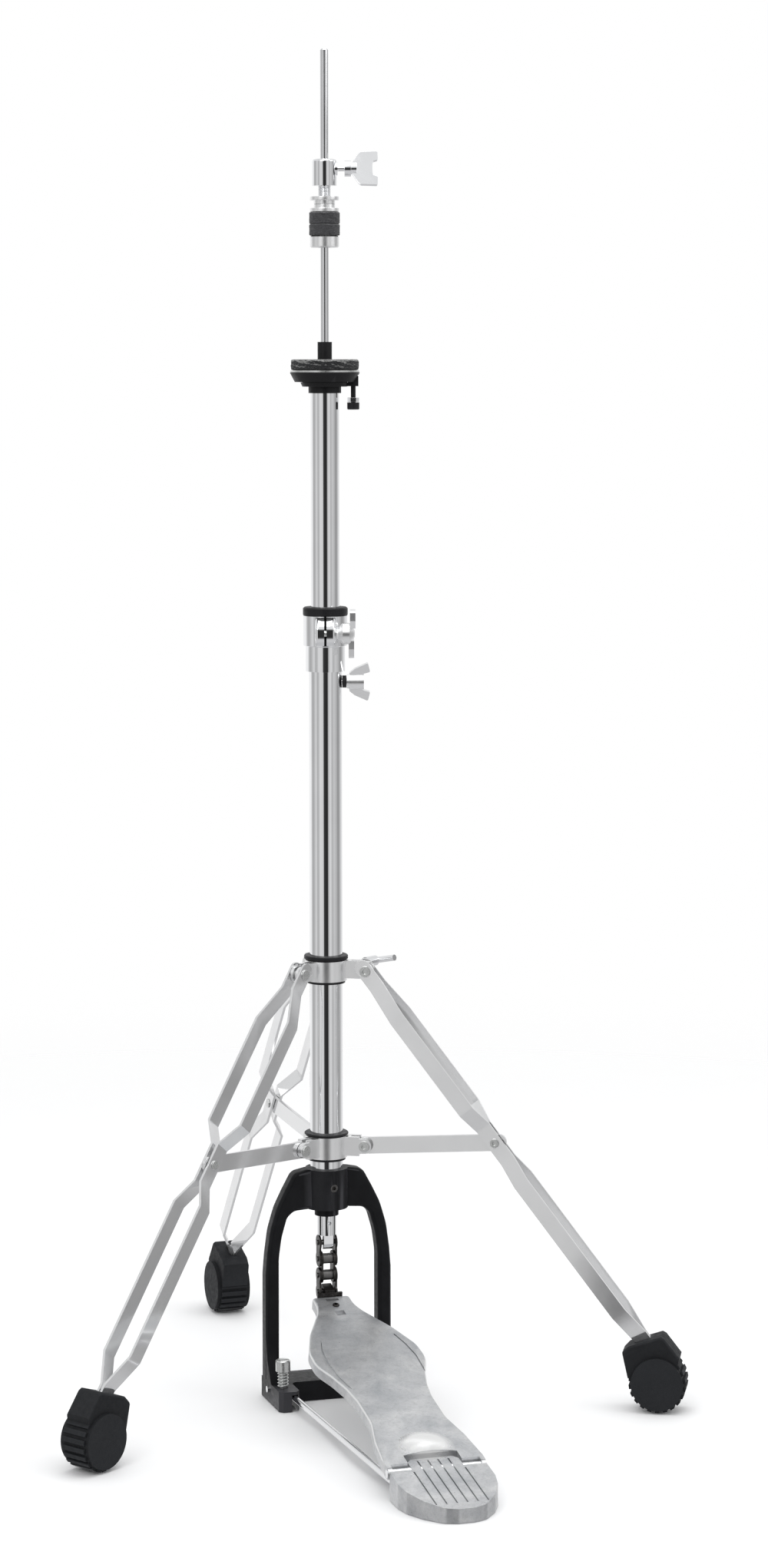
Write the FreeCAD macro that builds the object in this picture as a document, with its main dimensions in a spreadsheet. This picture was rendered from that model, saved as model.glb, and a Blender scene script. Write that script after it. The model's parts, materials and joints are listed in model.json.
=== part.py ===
import FreeCAD, Part
import Sketcher
import math
import os

# Hi-hat stand: a pedal that pulls a rod down through a telescopic tube, on a folding tripod.
# Frame: +Z up, the tube's axis is Z, the floor is z = 0, and the pedal points along -Y.
# All sizes are millimetres. The driving sizes are in the sheet; the rest follow from them.

DRIVING_SIZES = [
    # pull rod and clutch
    ("rod_radius", 3.175, "pull rod, 6.35 mm rod"),
    ("rod_top", 1040.0, "tip of the pull rod"),
    ("rod_joint", 430.0, "where the upper rod screws into the lower rod"),
    ("run_gap", 0.05, "radial clearance of a running fit"),
    ("face_gap", 0.3, "clearance between faces of different bodies"),
    ("clutch_top", 954.6, "top of the clutch body"),
    ("clutch_base", 933.8, "bottom of the clutch body"),
    ("clutch_radius", 9.5, "clutch body"),
    ("thread_radius", 5.0, "clutch's threaded sleeve"),
    ("nut_radius", 11.25, "clutch nuts"),
    ("nut_neck", 8.2, "neck of a clutch lock nut"),
    ("felt_radius", 12.0, "clutch felts"),
    ("clutch_screw_level", 947.0, "clutch wing screw"),
    ("clutch_screw_radius", 2.0, "clutch wing screw's shank"),
    # seat
    ("seat_radius", 26.7, "seat washer and felt"),
    ("seat_top", 799.5, "top of the seat felt"),
    ("cup_top", 789.5, "top of the seat cup"),
    ("cup_base", 781.9, "underside of the seat cup"),
    ("base_radius", 18.9, "rim that the cup rocks on"),
    ("sleeve_radius", 5.6, "seat sleeve above the felt, outside"),
    ("sleeve_root", 6.0, "seat sleeve inside the felt and the cup, outside"),
    ("sleeve_bore", 5.0, "seat sleeve, inside"),
    ("sleeve_top", 812.9, "top of the seat sleeve"),
    ("tilter_offset", 22.0, "tilter screw from the axis"),
    # tubes and height clamp
    ("upper_radius", 11.1, "upper tube, 22.2 mm"),
    ("upper_bore", 9.5, "upper tube, inside"),
    ("upper_top", 773.2, "top of the upper tube"),
    ("upper_base", 400.0, "lower end of the upper tube"),
    ("lower_radius", 12.7, "lower tube, 25.4 mm"),
    ("lower_bore", 11.2, "lower tube, inside"),
    ("lower_top", 572.0, "top of the lower tube"),
    ("lower_base", 150.2, "lower end of the lower tube"),
    ("clamp_top", 601.1, "top of the height clamp"),
    ("clamp_waist", 577.4, "where the clamp narrows to its sleeve"),
    ("clamp_base", 558.2, "bottom of the clamp's sleeve"),
    ("clamp_radius", 17.0, "height clamp"),
    ("clamp_sleeve", 15.2, "height clamp's sleeve"),
    ("bolt_level", 588.7, "clamp bolt"),
    ("bolt_forward", 22.5, "clamp bolt in front of the axis"),
    ("lock_level", 549.9, "lock wing screw"),
    ("front_turn", -16.8, "which way the clamp and the wing screws face, degrees"),
    # tripod
    ("leg_turn", 2.28, "tripod turned about the tube at rest, degrees"),
    ("top_pivot_out", 31.7, "leg pivot from the axis"),
    ("top_pivot_level", 327.1, "leg pivot's height"),
    ("mid_pivot_out", 131.95, "brace pivot on the leg"),
    ("mid_pivot_level", 198.1, "brace pivot's height"),
    ("low_pivot_out", 30.7, "brace pivot on the collar"),
    ("low_pivot_level", 192.1, "collar brace pivot's height"),
    ("strip_width", 12.0, "leg strip"),
    ("strip_thick", 2.0, "leg strip"),
    ("strip_end", 366.0, "leg strip's length below its pivot"),
    ("pinch_half", 1.9, "half the gap between strips at the brace"),
    ("ear_half", 3.95, "half the width of a leg ear"),
    ("brace_width", 12.7, "brace strip"),
    ("brace_thick", 3.0, "brace strip"),
    ("rivet_radius", 2.5, "collar rivets"),
    ("mid_rivet", 2.0, "brace rivet in the leg"),
    ("band_radius", 16.2, "collar band"),
    ("t_screw_level", 326.5, "T-screw in the leg collar"),
    ("t_screw_out", 61.0, "T-screw's bar from the axis"),
    ("flange_radius", 17.0, "collar bushing's flange"),
    ("foot_out", 257.0, "foot's contact from the axis"),
    ("foot_radius", 21.8, "foot's round end over its ribs"),
    ("foot_body", 22.0, "foot's width across its body"),
    ("foot_width", 28.0, "foot's width across its round faces"),
    # pedal frame
    ("hub_radius", 16.5, "frame hub round the tube"),
    ("hub_top", 174.0, "top of the hub"),
    ("hub_floor", 150.0, "the tube's guide stands here"),
    ("yoke_under", 144.0, "underside of the yoke's bridge"),
    ("boss_base", 137.5, "bottom of the boss round the rod"),
    ("boss_radius", 9.3, "boss round the rod"),
    ("arm_outer", 50.6, "outside of a yoke arm"),
    ("arm_inner", 39.8, "inside of a yoke arm"),
    ("arm_depth", 14.0, "yoke arm, front to back"),
    ("base_height", 15.0, "frame base"),
    ("base_front", 19.0, "frame base in front of the axis"),
    ("base_back", 12.0, "frame base behind the axis"),
    ("toe_front", 44.0, "front of the spur blocks"),
    ("block_inner", 34.5, "inside of a spur block"),
    ("set_screw_level", 160.5, "set screw in the hub"),
    ("set_screw_radius", 3.0, "set screw in the hub"),
    ("spur_out", 44.4, "spur from the middle"),
    ("spur_front", 31.0, "spur in front of the axis"),
    # linkage
    ("chain_pitch", 12.7, "roller chain"),
    ("chain_top", 116.0, "top chain pin"),
    ("chain_roller", 3.96, "chain roller radius"),
    ("chain_inner", 7.8, "chain's inner width"),
    ("plate_thick", 1.5, "chain plate"),
    ("plate_radius", 5.9, "chain plate's end radius"),
    ("pin_radius", 1.98, "chain pin"),
    ("spring_coil", 6.5, "return spring's mean radius"),
    ("spring_wire", 1.0, "return spring's wire radius"),
    ("spring_base", 180.3, "return spring's lower end"),
    ("spring_top", 300.0, "return spring's upper end"),
    # pedal
    ("hinge_back", 266.0, "pedal hinge in front of the axis"),
    ("hinge_level", 17.5, "pedal hinge's height"),
    ("hinge_radius", 3.0, "pedal hinge pin"),
    ("board_slope", 11.87, "footboard's slope at rest, degrees"),
    ("board_length", 263.5, "hinge to the footboard's toe"),
    ("board_top", 4.4, "footboard's face above the hinge"),
    ("board_skin", 3.4, "footboard's plate and walls"),
    ("board_depth", 8.0, "footboard's depth over its walls"),
    ("heel_half", 36.0, "half the heel plate's width"),
    ("heel_back", 332.0, "back of the heel plate"),
    ("heel_front", 270.5, "heel plate's front edge beside the hinge"),
    ("tongue_half", 19.0, "half the heel plate's tongue"),
    ("tongue_front", 255.0, "front of the heel plate's tongue"),
    ("tie_radius", 2.4, "tie rods from the frame to the heel plate"),
]

LEG_TURNS = {"right": -30.0, "left": -150.0, "rear": 90.0}
SIDES = {"right": 1, "left": -1}

DOC = FreeCAD.newDocument("hi_hat_stand")
NODES = []


class Size:
    """A number together with the sheet expression that it comes from."""

    def __init__(self, value, text):
        self.value = value
        self.text = text

    def combine(self, other, sign, value):
        text = other.text if isinstance(other, Size) else repr(other)
        return Size(value, "(%s %s %s)" % (self.text, sign, text))

    def __add__(self, other):
        return self.combine(other, "+", self.value + number(other))

    def __sub__(self, other):
        return self.combine(other, "-", self.value - number(other))

    def __mul__(self, other):
        return self.combine(other, "*", self.value * number(other))

    def __truediv__(self, other):
        return self.combine(other, "/", self.value / number(other))

    def __radd__(self, other):
        return Size(other + self.value, "(%r + %s)" % (other, self.text))

    def __rsub__(self, other):
        return Size(other - self.value, "(%r - %s)" % (other, self.text))

    def __rmul__(self, other):
        return Size(other * self.value, "(%r * %s)" % (other, self.text))

    def __neg__(self):
        return Size(-self.value, "(0 - %s)" % self.text)


def number(size):
    return size.value if isinstance(size, Size) else size


class Sheet:
    """The spreadsheet of driving sizes; sheet.rod_radius is that cell as a Size."""

    def __init__(self, rows):
        self.cells = {}
        table = DOC.addObject("Spreadsheet::Sheet", "Sizes")
        for row, (alias, value, note) in enumerate(rows, start=1):
            table.set("A%d" % row, note)
            table.set("B%d" % row, repr(value))
            table.setAlias("B%d" % row, alias)
            self.cells[alias] = Size(value, "Sizes." + alias)

    def __getattr__(self, alias):
        return self.cells[alias]


D = Sheet(DRIVING_SIZES)
DOC.recompute()


# ---------------------------------------------------------------- helpers

def bind(item, name, size):
    """Give a property a plain number, or the expression of a Size."""
    if isinstance(size, Size):
        item.setExpression(name, size.text)
    else:
        item.setExpression(name, repr(float(size)))


def put(item, base=(0, 0, 0), turn=0, axis=(0, 0, 1)):
    """Place an object, its position bound to the sheet."""
    spot = FreeCAD.Vector(*[number(value) for value in base])
    item.Placement = FreeCAD.Placement(spot, FreeCAD.Rotation(FreeCAD.Vector(*axis), number(turn)))
    for letter, value in zip("xyz", base):
        if isinstance(value, Size):
            item.setExpression("Placement.Base." + letter, value.text)
    return item


def roll(item, angle):
    """Turn a placed screw about its own axis, which is its local X."""
    spin = FreeCAD.Rotation(FreeCAD.Vector(1, 0, 0), angle)
    item.Placement.Rotation = item.Placement.Rotation.multiply(spin)
    return item


def keep(item, node):
    """Name a finished sub-part and list it for export."""
    item.Label = node
    NODES.append(item)
    return item


def new_body(name):
    return DOC.addObject("PartDesign::Body", name)


def origin_plane(body, role):
    for feature in body.Origin.OriginFeatures:
        if feature.Role == role:
            return feature
    raise ValueError(role)


def new_sketch(body, role, lift=0):
    """A sketch on one of the body's own planes, lifted along the plane's normal."""
    sketch = body.newObject("Sketcher::SketchObject", body.Name + "_sketch")
    sketch.AttachmentSupport = [(origin_plane(body, role), "")]
    sketch.MapMode = "FlatFace"
    bind(sketch, "AttachmentOffset.Base.z", lift)
    return sketch


def fix_point(sketch, edge, end, spot):
    """Dimension a point from the sketch's origin, both ways."""
    for kind, value in zip(("DistanceX", "DistanceY"), spot):
        index = sketch.addConstraint(Sketcher.Constraint(kind, -1, 1, edge, end, float(number(value))))
        if isinstance(value, Size):
            sketch.setExpression("Constraints[%d]" % index, value.text)


def draw_polygon(sketch, points):
    first = sketch.GeometryCount
    count = len(points)
    corners = [FreeCAD.Vector(number(x), number(y), 0) for x, y in points]
    for i in range(count):
        sketch.addGeometry(Part.LineSegment(corners[i], corners[(i + 1) % count]), False)
    joins = [Sketcher.Constraint("Coincident", first + i, 2, first + (i + 1) % count, 1)
             for i in range(count)]
    sketch.addConstraint(joins)
    for i, spot in enumerate(points):
        fix_point(sketch, first + i, 1, spot)


def draw_circle(sketch, centre, radius):
    spot = FreeCAD.Vector(number(centre[0]), number(centre[1]), 0)
    edge = sketch.addGeometry(Part.Circle(spot, FreeCAD.Vector(0, 0, 1), number(radius)), False)
    index = sketch.addConstraint(Sketcher.Constraint("Radius", edge, float(number(radius))))
    if isinstance(radius, Size):
        sketch.setExpression("Constraints[%d]" % index, radius.text)
    fix_point(sketch, edge, 3, centre)


def polygon_sketch(body, role, points, lift=0):
    sketch = new_sketch(body, role, lift)
    draw_polygon(sketch, points)
    return sketch


def circle_sketch(body, role, centre, radius, lift=0):
    sketch = new_sketch(body, role, lift)
    draw_circle(sketch, centre, radius)
    return sketch


def pad(body, sketch, length, symmetric=False):
    feature = body.newObject("PartDesign::Pad", body.Name + "_pad")
    feature.Profile = sketch
    feature.SideType = "Symmetric" if symmetric else "One side"
    bind(feature, "Length", length)
    return feature


def pocket(body, sketch, length, symmetric=False, reverse=False):
    """Cut against the sketch's normal, or along it when reverse is set."""
    feature = body.newObject("PartDesign::Pocket", body.Name + "_pocket")
    feature.Profile = sketch
    feature.SideType = "Symmetric" if symmetric else "One side"
    feature.Reversed = reverse
    bind(feature, "Length", length)
    return feature


def revolve(body, sketch, axis="V_Axis"):
    feature = body.newObject("PartDesign::Revolution", body.Name + "_turned")
    feature.Profile = sketch
    feature.ReferenceAxis = (sketch, [axis])
    feature.Angle = 360.0
    return feature


def turned(name, outline):
    """A piece turned about Z; the outline is (radius, height) points."""
    body = new_body(name)
    revolve(body, polygon_sketch(body, "XZ_Plane", outline))
    return body


def ring(name, inner, outer, low, high):
    """A plain turned ring or tube."""
    return turned(name, [(inner, low), (outer, low), (outer, high), (inner, high)])


def round_edges(body, radius, wanted):
    """Fillet the edges of the body's tip for which wanted(middle point, direction) is true."""
    DOC.recompute()
    tip = body.Tip
    names = []
    for index, edge in enumerate(tip.Shape.Edges, start=1):
        middle = edge.valueAt((edge.FirstParameter + edge.LastParameter) / 2)
        ends = [vertex.Point for vertex in edge.Vertexes]
        run = (ends[-1] - ends[0]) if len(ends) > 1 else FreeCAD.Vector(0, 0, 0)
        if run.Length > 0:
            run.normalize()
        if wanted(middle, run):
            names.append("Edge%d" % index)
    feature = body.newObject("PartDesign::Fillet", body.Name + "_fillet")
    feature.Base = (tip, names)
    bind(feature, "Radius", radius)
    return feature


def hexagon(radius):
    """The six corners of a hexagon."""
    turns = [math.radians(60 * index) for index in range(6)]
    return [(radius * math.cos(turn), radius * math.sin(turn)) for turn in turns]


def box(name, low, high):
    """A Part box between two corners."""
    item = DOC.addObject("Part::Box", name)
    for prop, start, end in zip(("Length", "Width", "Height"), low, high):
        bind(item, prop, end - start)
    return put(item, low)


def rod(name, radius, length, base=(0, 0, 0), axis=(0, 0, 1)):
    """A Part cylinder from base along an axis direction."""
    item = DOC.addObject("Part::Cylinder", name)
    bind(item, "Radius", radius)
    bind(item, "Height", length)
    put(item, base)
    item.Placement.Rotation = FreeCAD.Rotation(FreeCAD.Vector(0, 0, 1), FreeCAD.Vector(*axis))
    return item


def fuse(name, items):
    item = DOC.addObject("Part::MultiFuse", name)
    item.Shapes = items
    return item


def cut(name, base, tool):
    item = DOC.addObject("Part::Cut", name)
    item.Base = base
    item.Tool = tool
    return item


def group(name, items):
    """Separate solids kept together as one sub-part."""
    item = DOC.addObject("Part::Compound", name)
    item.Links = items
    return item


def spring(name, coil, wire, low, high, turns):
    """A helical spring about Z."""
    body = new_body(name)
    sketch = circle_sketch(body, "XZ_Plane", (coil, low + wire), wire)
    feature = body.newObject("PartDesign::AdditiveHelix", name + "_helix")
    feature.Profile = sketch
    feature.ReferenceAxis = (sketch, ["V_Axis"])
    feature.Mode = "height-turns-angle"
    bind(feature, "Height", high - low - wire * 2)
    feature.Turns = turns
    return body


def facing(turn, out=0, level=0):
    """Arguments for put: turned about Z and moved out along the turned X."""
    angle = math.radians(number(turn))
    return (out * math.cos(angle), out * math.sin(angle), level), turn


# ---------------------------------------------------------------- pull rod and clutch

def pull_rod():
    tip = 1.0
    body = turned("pull_rod", [
        (0, D.rod_joint - 10),
        (D.rod_radius, D.rod_joint - 10),
        (D.rod_radius, D.rod_top - tip),
        (D.rod_radius - tip, D.rod_top),
        (0, D.rod_top),
    ])
    keep(body, "pull_rod")


def lower_pull_rod():
    shank = 4.0
    socket = 5.2
    foot = 126.0
    body = turned("lower_pull_rod", [
        (0, foot),
        (shank, foot),
        (shank, D.rod_joint - 16),
        (socket, D.rod_joint - 14),
        (socket, D.rod_joint + 10),
        (D.rod_radius + D.run_gap, D.rod_joint + 10),
        (D.rod_radius + D.run_gap, D.rod_joint - 10.1),
        (0, D.rod_joint - 10.1),
    ])
    keep(body, "lower_pull_rod")


def clutch_body():
    edge = 2.0
    bore = D.rod_radius + D.run_gap
    body = turned("clutch_body", [
        (bore, D.clutch_base),
        (D.clutch_radius, D.clutch_base),
        (D.clutch_radius, D.clutch_top - edge),
        (D.clutch_radius - edge * 0.3, D.clutch_top - edge * 0.3),
        (D.clutch_radius - edge, D.clutch_top),
        (bore, D.clutch_top),
    ])
    boss_radius, boss_start, boss_length = 5.2, 4.0, 6.2
    boss = circle_sketch(body, "YZ_Plane", (0, D.clutch_screw_level), boss_radius, boss_start)
    pad(body, boss, boss_length)
    hole = circle_sketch(body, "YZ_Plane", (0, D.clutch_screw_level), D.clutch_screw_radius + D.run_gap)
    pocket(body, hole, 20, reverse=True)
    put(body, turn=D.front_turn)
    keep(body, "clutch_body")


def clutch_sleeve():
    """Sleeve with its thread in sight between the body and the upper lock nut."""
    low, thread_low = 886.2, 926.0
    turns, pitch, depth = 6, 1.2, 0.5
    bore = D.rod_radius + D.run_gap
    outline = [(bore, low), (D.thread_radius, low)]
    for turn in range(turns):
        crest = thread_low + pitch * turn
        outline += [(D.thread_radius, crest), (D.thread_radius - depth, crest + pitch / 2)]
    outline += [(D.thread_radius, thread_low + pitch * turns), (D.thread_radius, D.clutch_base - 0.1)]
    outline.append((bore, D.clutch_base - 0.1))
    keep(turned("clutch_sleeve", outline), "clutch_sleeve")


def wing_plate(name, half, thickness):
    """Flat wings in the XZ plane in one plate; half is the outline above the screw's axis."""
    body = new_body(name)
    outline = half + [(x, -z) for x, z in reversed(half)]
    pad(body, polygon_sketch(body, "XZ_Plane", outline), thickness, symmetric=True)
    round_edges(body, 1.2, lambda middle, run: abs(run.y) > 0.99 and abs(middle.z) > 5)
    return body


def clutch_wing_screw():
    flange_start, flange_length = 15.6, 5.0
    shank = rod("clutch_screw_shank", D.clutch_screw_radius, 14, (3.55, 0, 0), (1, 0, 0))
    flange = rod("clutch_screw_flange", 6.2, flange_length, (flange_start, 0, 0), (1, 0, 0))
    neck = rod("clutch_screw_neck", 4.4, 9.5, (flange_start, 0, 0), (1, 0, 0))
    half = [
        (19.0, 2.8), (21.0, 4.0), (26.4, 12.2), (28.0, 13.4), (41.2, 13.9), (41.4, 6.8),
        (37.6, 5.6), (37.2, 2.4),
    ]
    screw = fuse("clutch_wing_screw", [shank, flange, neck, wing_plate("clutch_wing", half, 3.4)])
    put(screw, (0, 0, D.clutch_screw_level), D.front_turn)
    keep(roll(screw, -17), "clutch_wing_screw")


def clutch_nuts():
    """Two lock nuts neck to neck, and the bottom nut."""
    bore = D.thread_radius + D.run_gap
    middle, neck, height = 919.55, 3.1, 5.9
    pair = []
    for side in (1, -1):
        outline = [
            (bore, 0.05), (D.nut_neck, 0.05), (D.nut_neck, neck), (D.nut_radius, neck),
            (D.nut_radius, height), (bore, height),
        ]
        pair.append(turned("lock_nut_%d" % (side + 1), [(r, middle + z * side) for r, z in outline]))
    keep(group("clutch_lock_nuts", pair), "clutch_lock_nuts")
    low, high = 886.0, 895.0
    rim = 0.8
    bottom = turned("bottom_nut", [
        (bore, low), (D.nut_radius - rim, low), (D.nut_radius, low + rim),
        (D.nut_radius, high - rim), (D.nut_radius - rim, high), (bore, high),
    ])
    keep(bottom, "clutch_bottom_nut")


def clutch_felts():
    inner = D.thread_radius + 0.2
    lower = ring("felt_lower", inner, D.felt_radius, 895.3, 904.0)
    upper = ring("felt_upper", inner, D.felt_radius, 904.3, 913.4)
    keep(group("clutch_felts", [lower, upper]), "clutch_felts")


# ---------------------------------------------------------------- seat

def seat_stack():
    """Sleeve, felt and washer on the rocking cup, which is notched for the tilter screw."""
    fit = D.sleeve_root + D.run_gap
    sleeve_base, shoulder = D.cup_base + 0.4, D.seat_top - 0.1
    sleeve = turned("seat_sleeve", [
        (D.sleeve_bore, sleeve_base), (D.sleeve_root, sleeve_base), (D.sleeve_root, shoulder),
        (D.sleeve_radius, shoulder), (D.sleeve_radius, D.sleeve_top), (D.sleeve_bore, D.sleeve_top),
    ])
    keep(sleeve, "seat_sleeve")
    keep(ring("seat_felt", fit, D.seat_radius - 0.1, D.cup_top + 1.5, D.seat_top), "seat_felt")
    keep(ring("seat_washer", fit, D.seat_radius, D.cup_top + 0.05, D.cup_top + 1.4), "seat_washer")
    recess, depth = D.base_radius - 0.8, 1.4
    cup = turned("cup_turned", [
        (fit, D.cup_base + depth), (recess, D.cup_base + depth), (recess, D.cup_base),
        (D.seat_radius - 3.4, D.cup_base),
        (D.seat_radius + 0.3, D.cup_top - 0.6), (D.seat_radius, D.cup_top), (fit, D.cup_top),
    ])
    half, tall = 4.7, 5.4
    low = (D.tilter_offset - 4.5, -half, D.cup_base - 1)
    notch = box("cup_notch", low, (D.tilter_offset + 8, half, D.cup_base + tall))
    seat_cup = cut("seat_cup", cup, notch)
    put(seat_cup, turn=D.front_turn)
    keep(seat_cup, "seat_cup")


def seat_base():
    """Collar on the tube, with the lug that the tilter screw threads through."""
    top = D.cup_base - 0.3
    bore = D.rod_radius + 0.4
    rise_inner, rise_outer = D.sleeve_root + 1, D.base_radius - 1.4
    plug = D.upper_bore - 0.1
    plug_base, ledge, waist = D.upper_top - 13, D.upper_top + 0.1, D.upper_top + 5.1
    turned_base = turned("seat_base_turned", [
        (bore, plug_base), (plug, plug_base), (plug, ledge), (D.lower_radius, ledge),
        (D.lower_radius, waist), (D.base_radius - 1.4, waist), (D.base_radius, top),
        (rise_outer, top), (rise_outer, top + 0.9), (rise_inner, top + 0.9), (rise_inner, top), (bore, top),
    ])
    half = 4.0
    arm = box("tilter_arm", (12, -half, top - 3), (D.tilter_offset + half, half, top))
    outside = D.tilter_offset + half
    lug = box("tilter_lug", (D.tilter_offset - half, -half, top - 3), (outside, half, top + 5))
    hole = rod("tilter_hole", 1.95, 20, (D.tilter_offset, 0, top - 8))
    base = cut("seat_base", fuse("seat_base_fused", [turned_base, arm, lug]), hole)
    put(base, turn=D.front_turn)
    keep(base, "seat_base")


def tilter():
    """Screw with a moulded knob, and its hexagon lock nut."""
    knob_low, knob_high = 760.5, 766.0
    screw = turned("tilter_screw", [
        (0, knob_low), (4.2, knob_low), (4.75, knob_low + 0.6), (4.75, knob_high),
        (1.9, knob_high), (1.9, D.cup_base + 5.1), (0, D.cup_base + 5.1),
    ])
    put(screw, *facing(D.front_turn, number(D.tilter_offset)))
    keep(screw, "tilter_screw")
    body = new_body("tilter_nut")
    pad(body, polygon_sketch(body, "XY_Plane", hexagon(4.6), knob_high + 0.4), 3.4)
    pocket(body, circle_sketch(body, "XY_Plane", (0, 0), 1.95, knob_high + 5), 10)
    put(body, *facing(D.front_turn, number(D.tilter_offset)))
    keep(body, "tilter_nut")


# ---------------------------------------------------------------- tubes and height clamp

def upper_tube():
    body = ring("upper_tube", D.upper_bore, D.upper_radius, D.upper_base, D.upper_top)
    half, low, high = 1.2, D.upper_top - 12, D.upper_top - 7
    slot = [(-half, low), (half, low), (half, high), (-half, high)]
    pocket(body, polygon_sketch(body, "YZ_Plane", slot), 30, reverse=True)
    put(body, turn=D.front_turn)
    keep(body, "upper_tube")


def lower_tube():
    body = ring("lower_tube", D.lower_bore, D.lower_radius, D.lower_base, D.lower_top)
    pocket(body, circle_sketch(body, "YZ_Plane", (0, D.lock_level), 2.55), 30, reverse=True)
    put(body, turn=D.front_turn)
    keep(body, "lower_tube")


def height_clamp():
    """Split casting: sleeve on the lower tube, and two rounded ears at the front for the bolt."""
    slide = D.lower_radius + D.run_gap
    bore = D.lower_radius + 0.3
    step = D.lower_top + 0.3
    shell = turned("clamp_turned", [
        (slide, D.clamp_base), (D.clamp_sleeve, D.clamp_base), (D.clamp_sleeve, D.clamp_waist),
        (D.clamp_radius, D.clamp_waist + 0.8), (D.clamp_radius, D.clamp_top), (bore, D.clamp_top),
        (bore, step), (slide, step),
    ])
    ears = new_body("clamp_ears")
    root, front = -12.5, -D.bolt_forward - 6
    low, high, nose = D.clamp_waist + 1.4, D.clamp_top - 0.4, 3.2
    outline = [
        (root, low), (root - 5, low), (front + 1.5, D.bolt_level - nose * 2), (front, D.bolt_level - nose),
        (front, D.bolt_level + nose), (front + 1.5, D.bolt_level + nose * 2), (root - 5, high), (root, high),
    ]
    pad(ears, polygon_sketch(ears, "YZ_Plane", outline), 16, symmetric=True)
    round_edges(ears, 2.4, lambda spot, run: abs(spot.x) > 7.9 and spot.y < -15)
    slit = box("clamp_slit", (-0.9, front - 2, D.clamp_waist + 1), (0.9, -12.9, D.clamp_top + 1))
    hole = rod("clamp_bolt_hole", 2.6, 40, (-20, -D.bolt_forward, D.bolt_level), (1, 0, 0))
    seat = rod("clamp_bolt_seat", 4.4, 15, (-20.1, -D.bolt_forward, D.bolt_level), (1, 0, 0))
    core = rod("clamp_core", bore, 40, (0, 0, step))
    body = cut("height_clamp", fuse("clamp_fused", [shell, ears]), fuse("clamp_cuts", [slit, hole, seat, core]))
    put(body, turn=D.front_turn)
    keep(body, "height_clamp")


def height_bushing():
    """Flanged plastic bushing between the clamp and the upper tube."""
    bore = D.upper_radius + D.run_gap
    wall = D.lower_radius + 0.2
    body = turned("height_bushing", [
        (bore, D.lower_top + 0.6), (wall, D.lower_top + 0.6), (wall, D.clamp_top + 0.1),
        (D.clamp_radius, D.clamp_top + 0.1), (D.clamp_radius + 0.4, D.clamp_top + 1),
        (D.clamp_radius + 0.4, D.clamp_top + 5.6), (D.clamp_radius - 0.8, D.clamp_top + 6.7),
        (bore, D.clamp_top + 6.7),
    ])
    keep(body, "height_bushing")


def height_bolt():
    shank = rod("height_bolt_shank", 2.5, 25.6, (-6, 0, 0), (1, 0, 0))
    head = rod("height_bolt_head", 4.2, 2.6, (-7.8, 0, 0), (1, 0, 0))
    bolt = fuse("height_bolt", [shank, head])
    put(bolt, bolt_spot(), D.front_turn)
    keep(bolt, "height_clamp_bolt")


def bolt_spot():
    """The clamp bolt's axis, in front of the tube."""
    angle = math.radians(number(D.front_turn))
    return (D.bolt_forward * math.sin(angle), -(D.bolt_forward * math.cos(angle)), D.bolt_level)


def height_wing_nut():
    """Round-bodied nut with a lobe above and one below, set a little askew."""
    start, end = 8.4, 22.6
    body = new_body("height_nut_hub")
    outline = [
        (start, 0), (start, 4.2), (start + 1.8, 4.8), (start + 4.8, 8.2), (end - 4.0, 8.2), (end - 1.4, 5.0),
        (end, 2.6), (end, 0),
    ]
    revolve(body, polygon_sketch(body, "XZ_Plane", outline), "H_Axis")
    lobes = []
    thickness, inside, askew = 4.2, 18.4, 0.5
    for side in (1, -1):
        lobe = new_body("height_nut_lobe")
        half = [(4.0, 5), (5.2, 11), (4.6, 18.6)]
        near = [(across, out * side) for across, out in half]
        shape = near + [(-across, out) for across, out in reversed(near)]
        pad(lobe, polygon_sketch(lobe, "YZ_Plane", shape, inside + askew * side), thickness)
        round_edges(lobe, 2.0, lambda middle, run: abs(run.x) > 0.99 and abs(middle.z) > 8)
        lobes.append(lobe)
    bore = rod("height_nut_bore", 2.55, 20, (start - 1, 0, 0), (1, 0, 0))
    nut = cut("height_wing_nut", fuse("height_nut_fused", [body] + lobes), bore)
    put(nut, bolt_spot(), D.front_turn)
    keep(roll(nut, 10), "height_wing_nut")


def lock_screw():
    """Wing screw through the lower tube that locks the upper tube's turn."""
    start = D.lower_radius + 0.3
    disc = rod("lock_washer_disc", 4.75, 3.3, (start, 0, 0), (1, 0, 0))
    washer = cut("lock_screw_washer", disc, rod("lock_washer_hole", 2.55, 8, (start - 2, 0, 0), (1, 0, 0)))
    put(washer, (0, 0, D.lock_level), D.front_turn)
    keep(washer, "lock_screw_washer")
    shank = rod("lock_screw_shank", 2.5, 8, (D.upper_radius + 0.35, 0, 0), (1, 0, 0))
    collar = rod("lock_screw_collar", 5.4, 1.6, (D.lower_radius + 3.9, 0, 0), (1, 0, 0))
    hub = rod("lock_screw_hub", 6.2, 11.6, (D.lower_radius + 5.4, 0, 0), (1, 0, 0))
    wings = []
    for side in (1, -1):
        body = new_body("lock_wing")
        outline = [(18.6, 4), (18.6, 7.4), (22.6, 10.8), (32.8, 15.6), (34.6, 8.4), (28.6, 6.6), (28, 4)]
        pad(body, polygon_sketch(body, "XZ_Plane", [(x, z * side) for x, z in outline]), 3.2, symmetric=True)
        round_edges(body, 1.0, lambda middle, run: abs(run.y) > 0.99 and middle.x > 20)
        wings.append(body)
    screw = fuse("lock_wing_screw", [shank, collar, hub] + wings)
    put(screw, (0, 0, D.lock_level), D.front_turn)
    keep(roll(screw, 16), "lock_wing_screw")


# ---------------------------------------------------------------- tripod

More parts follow.
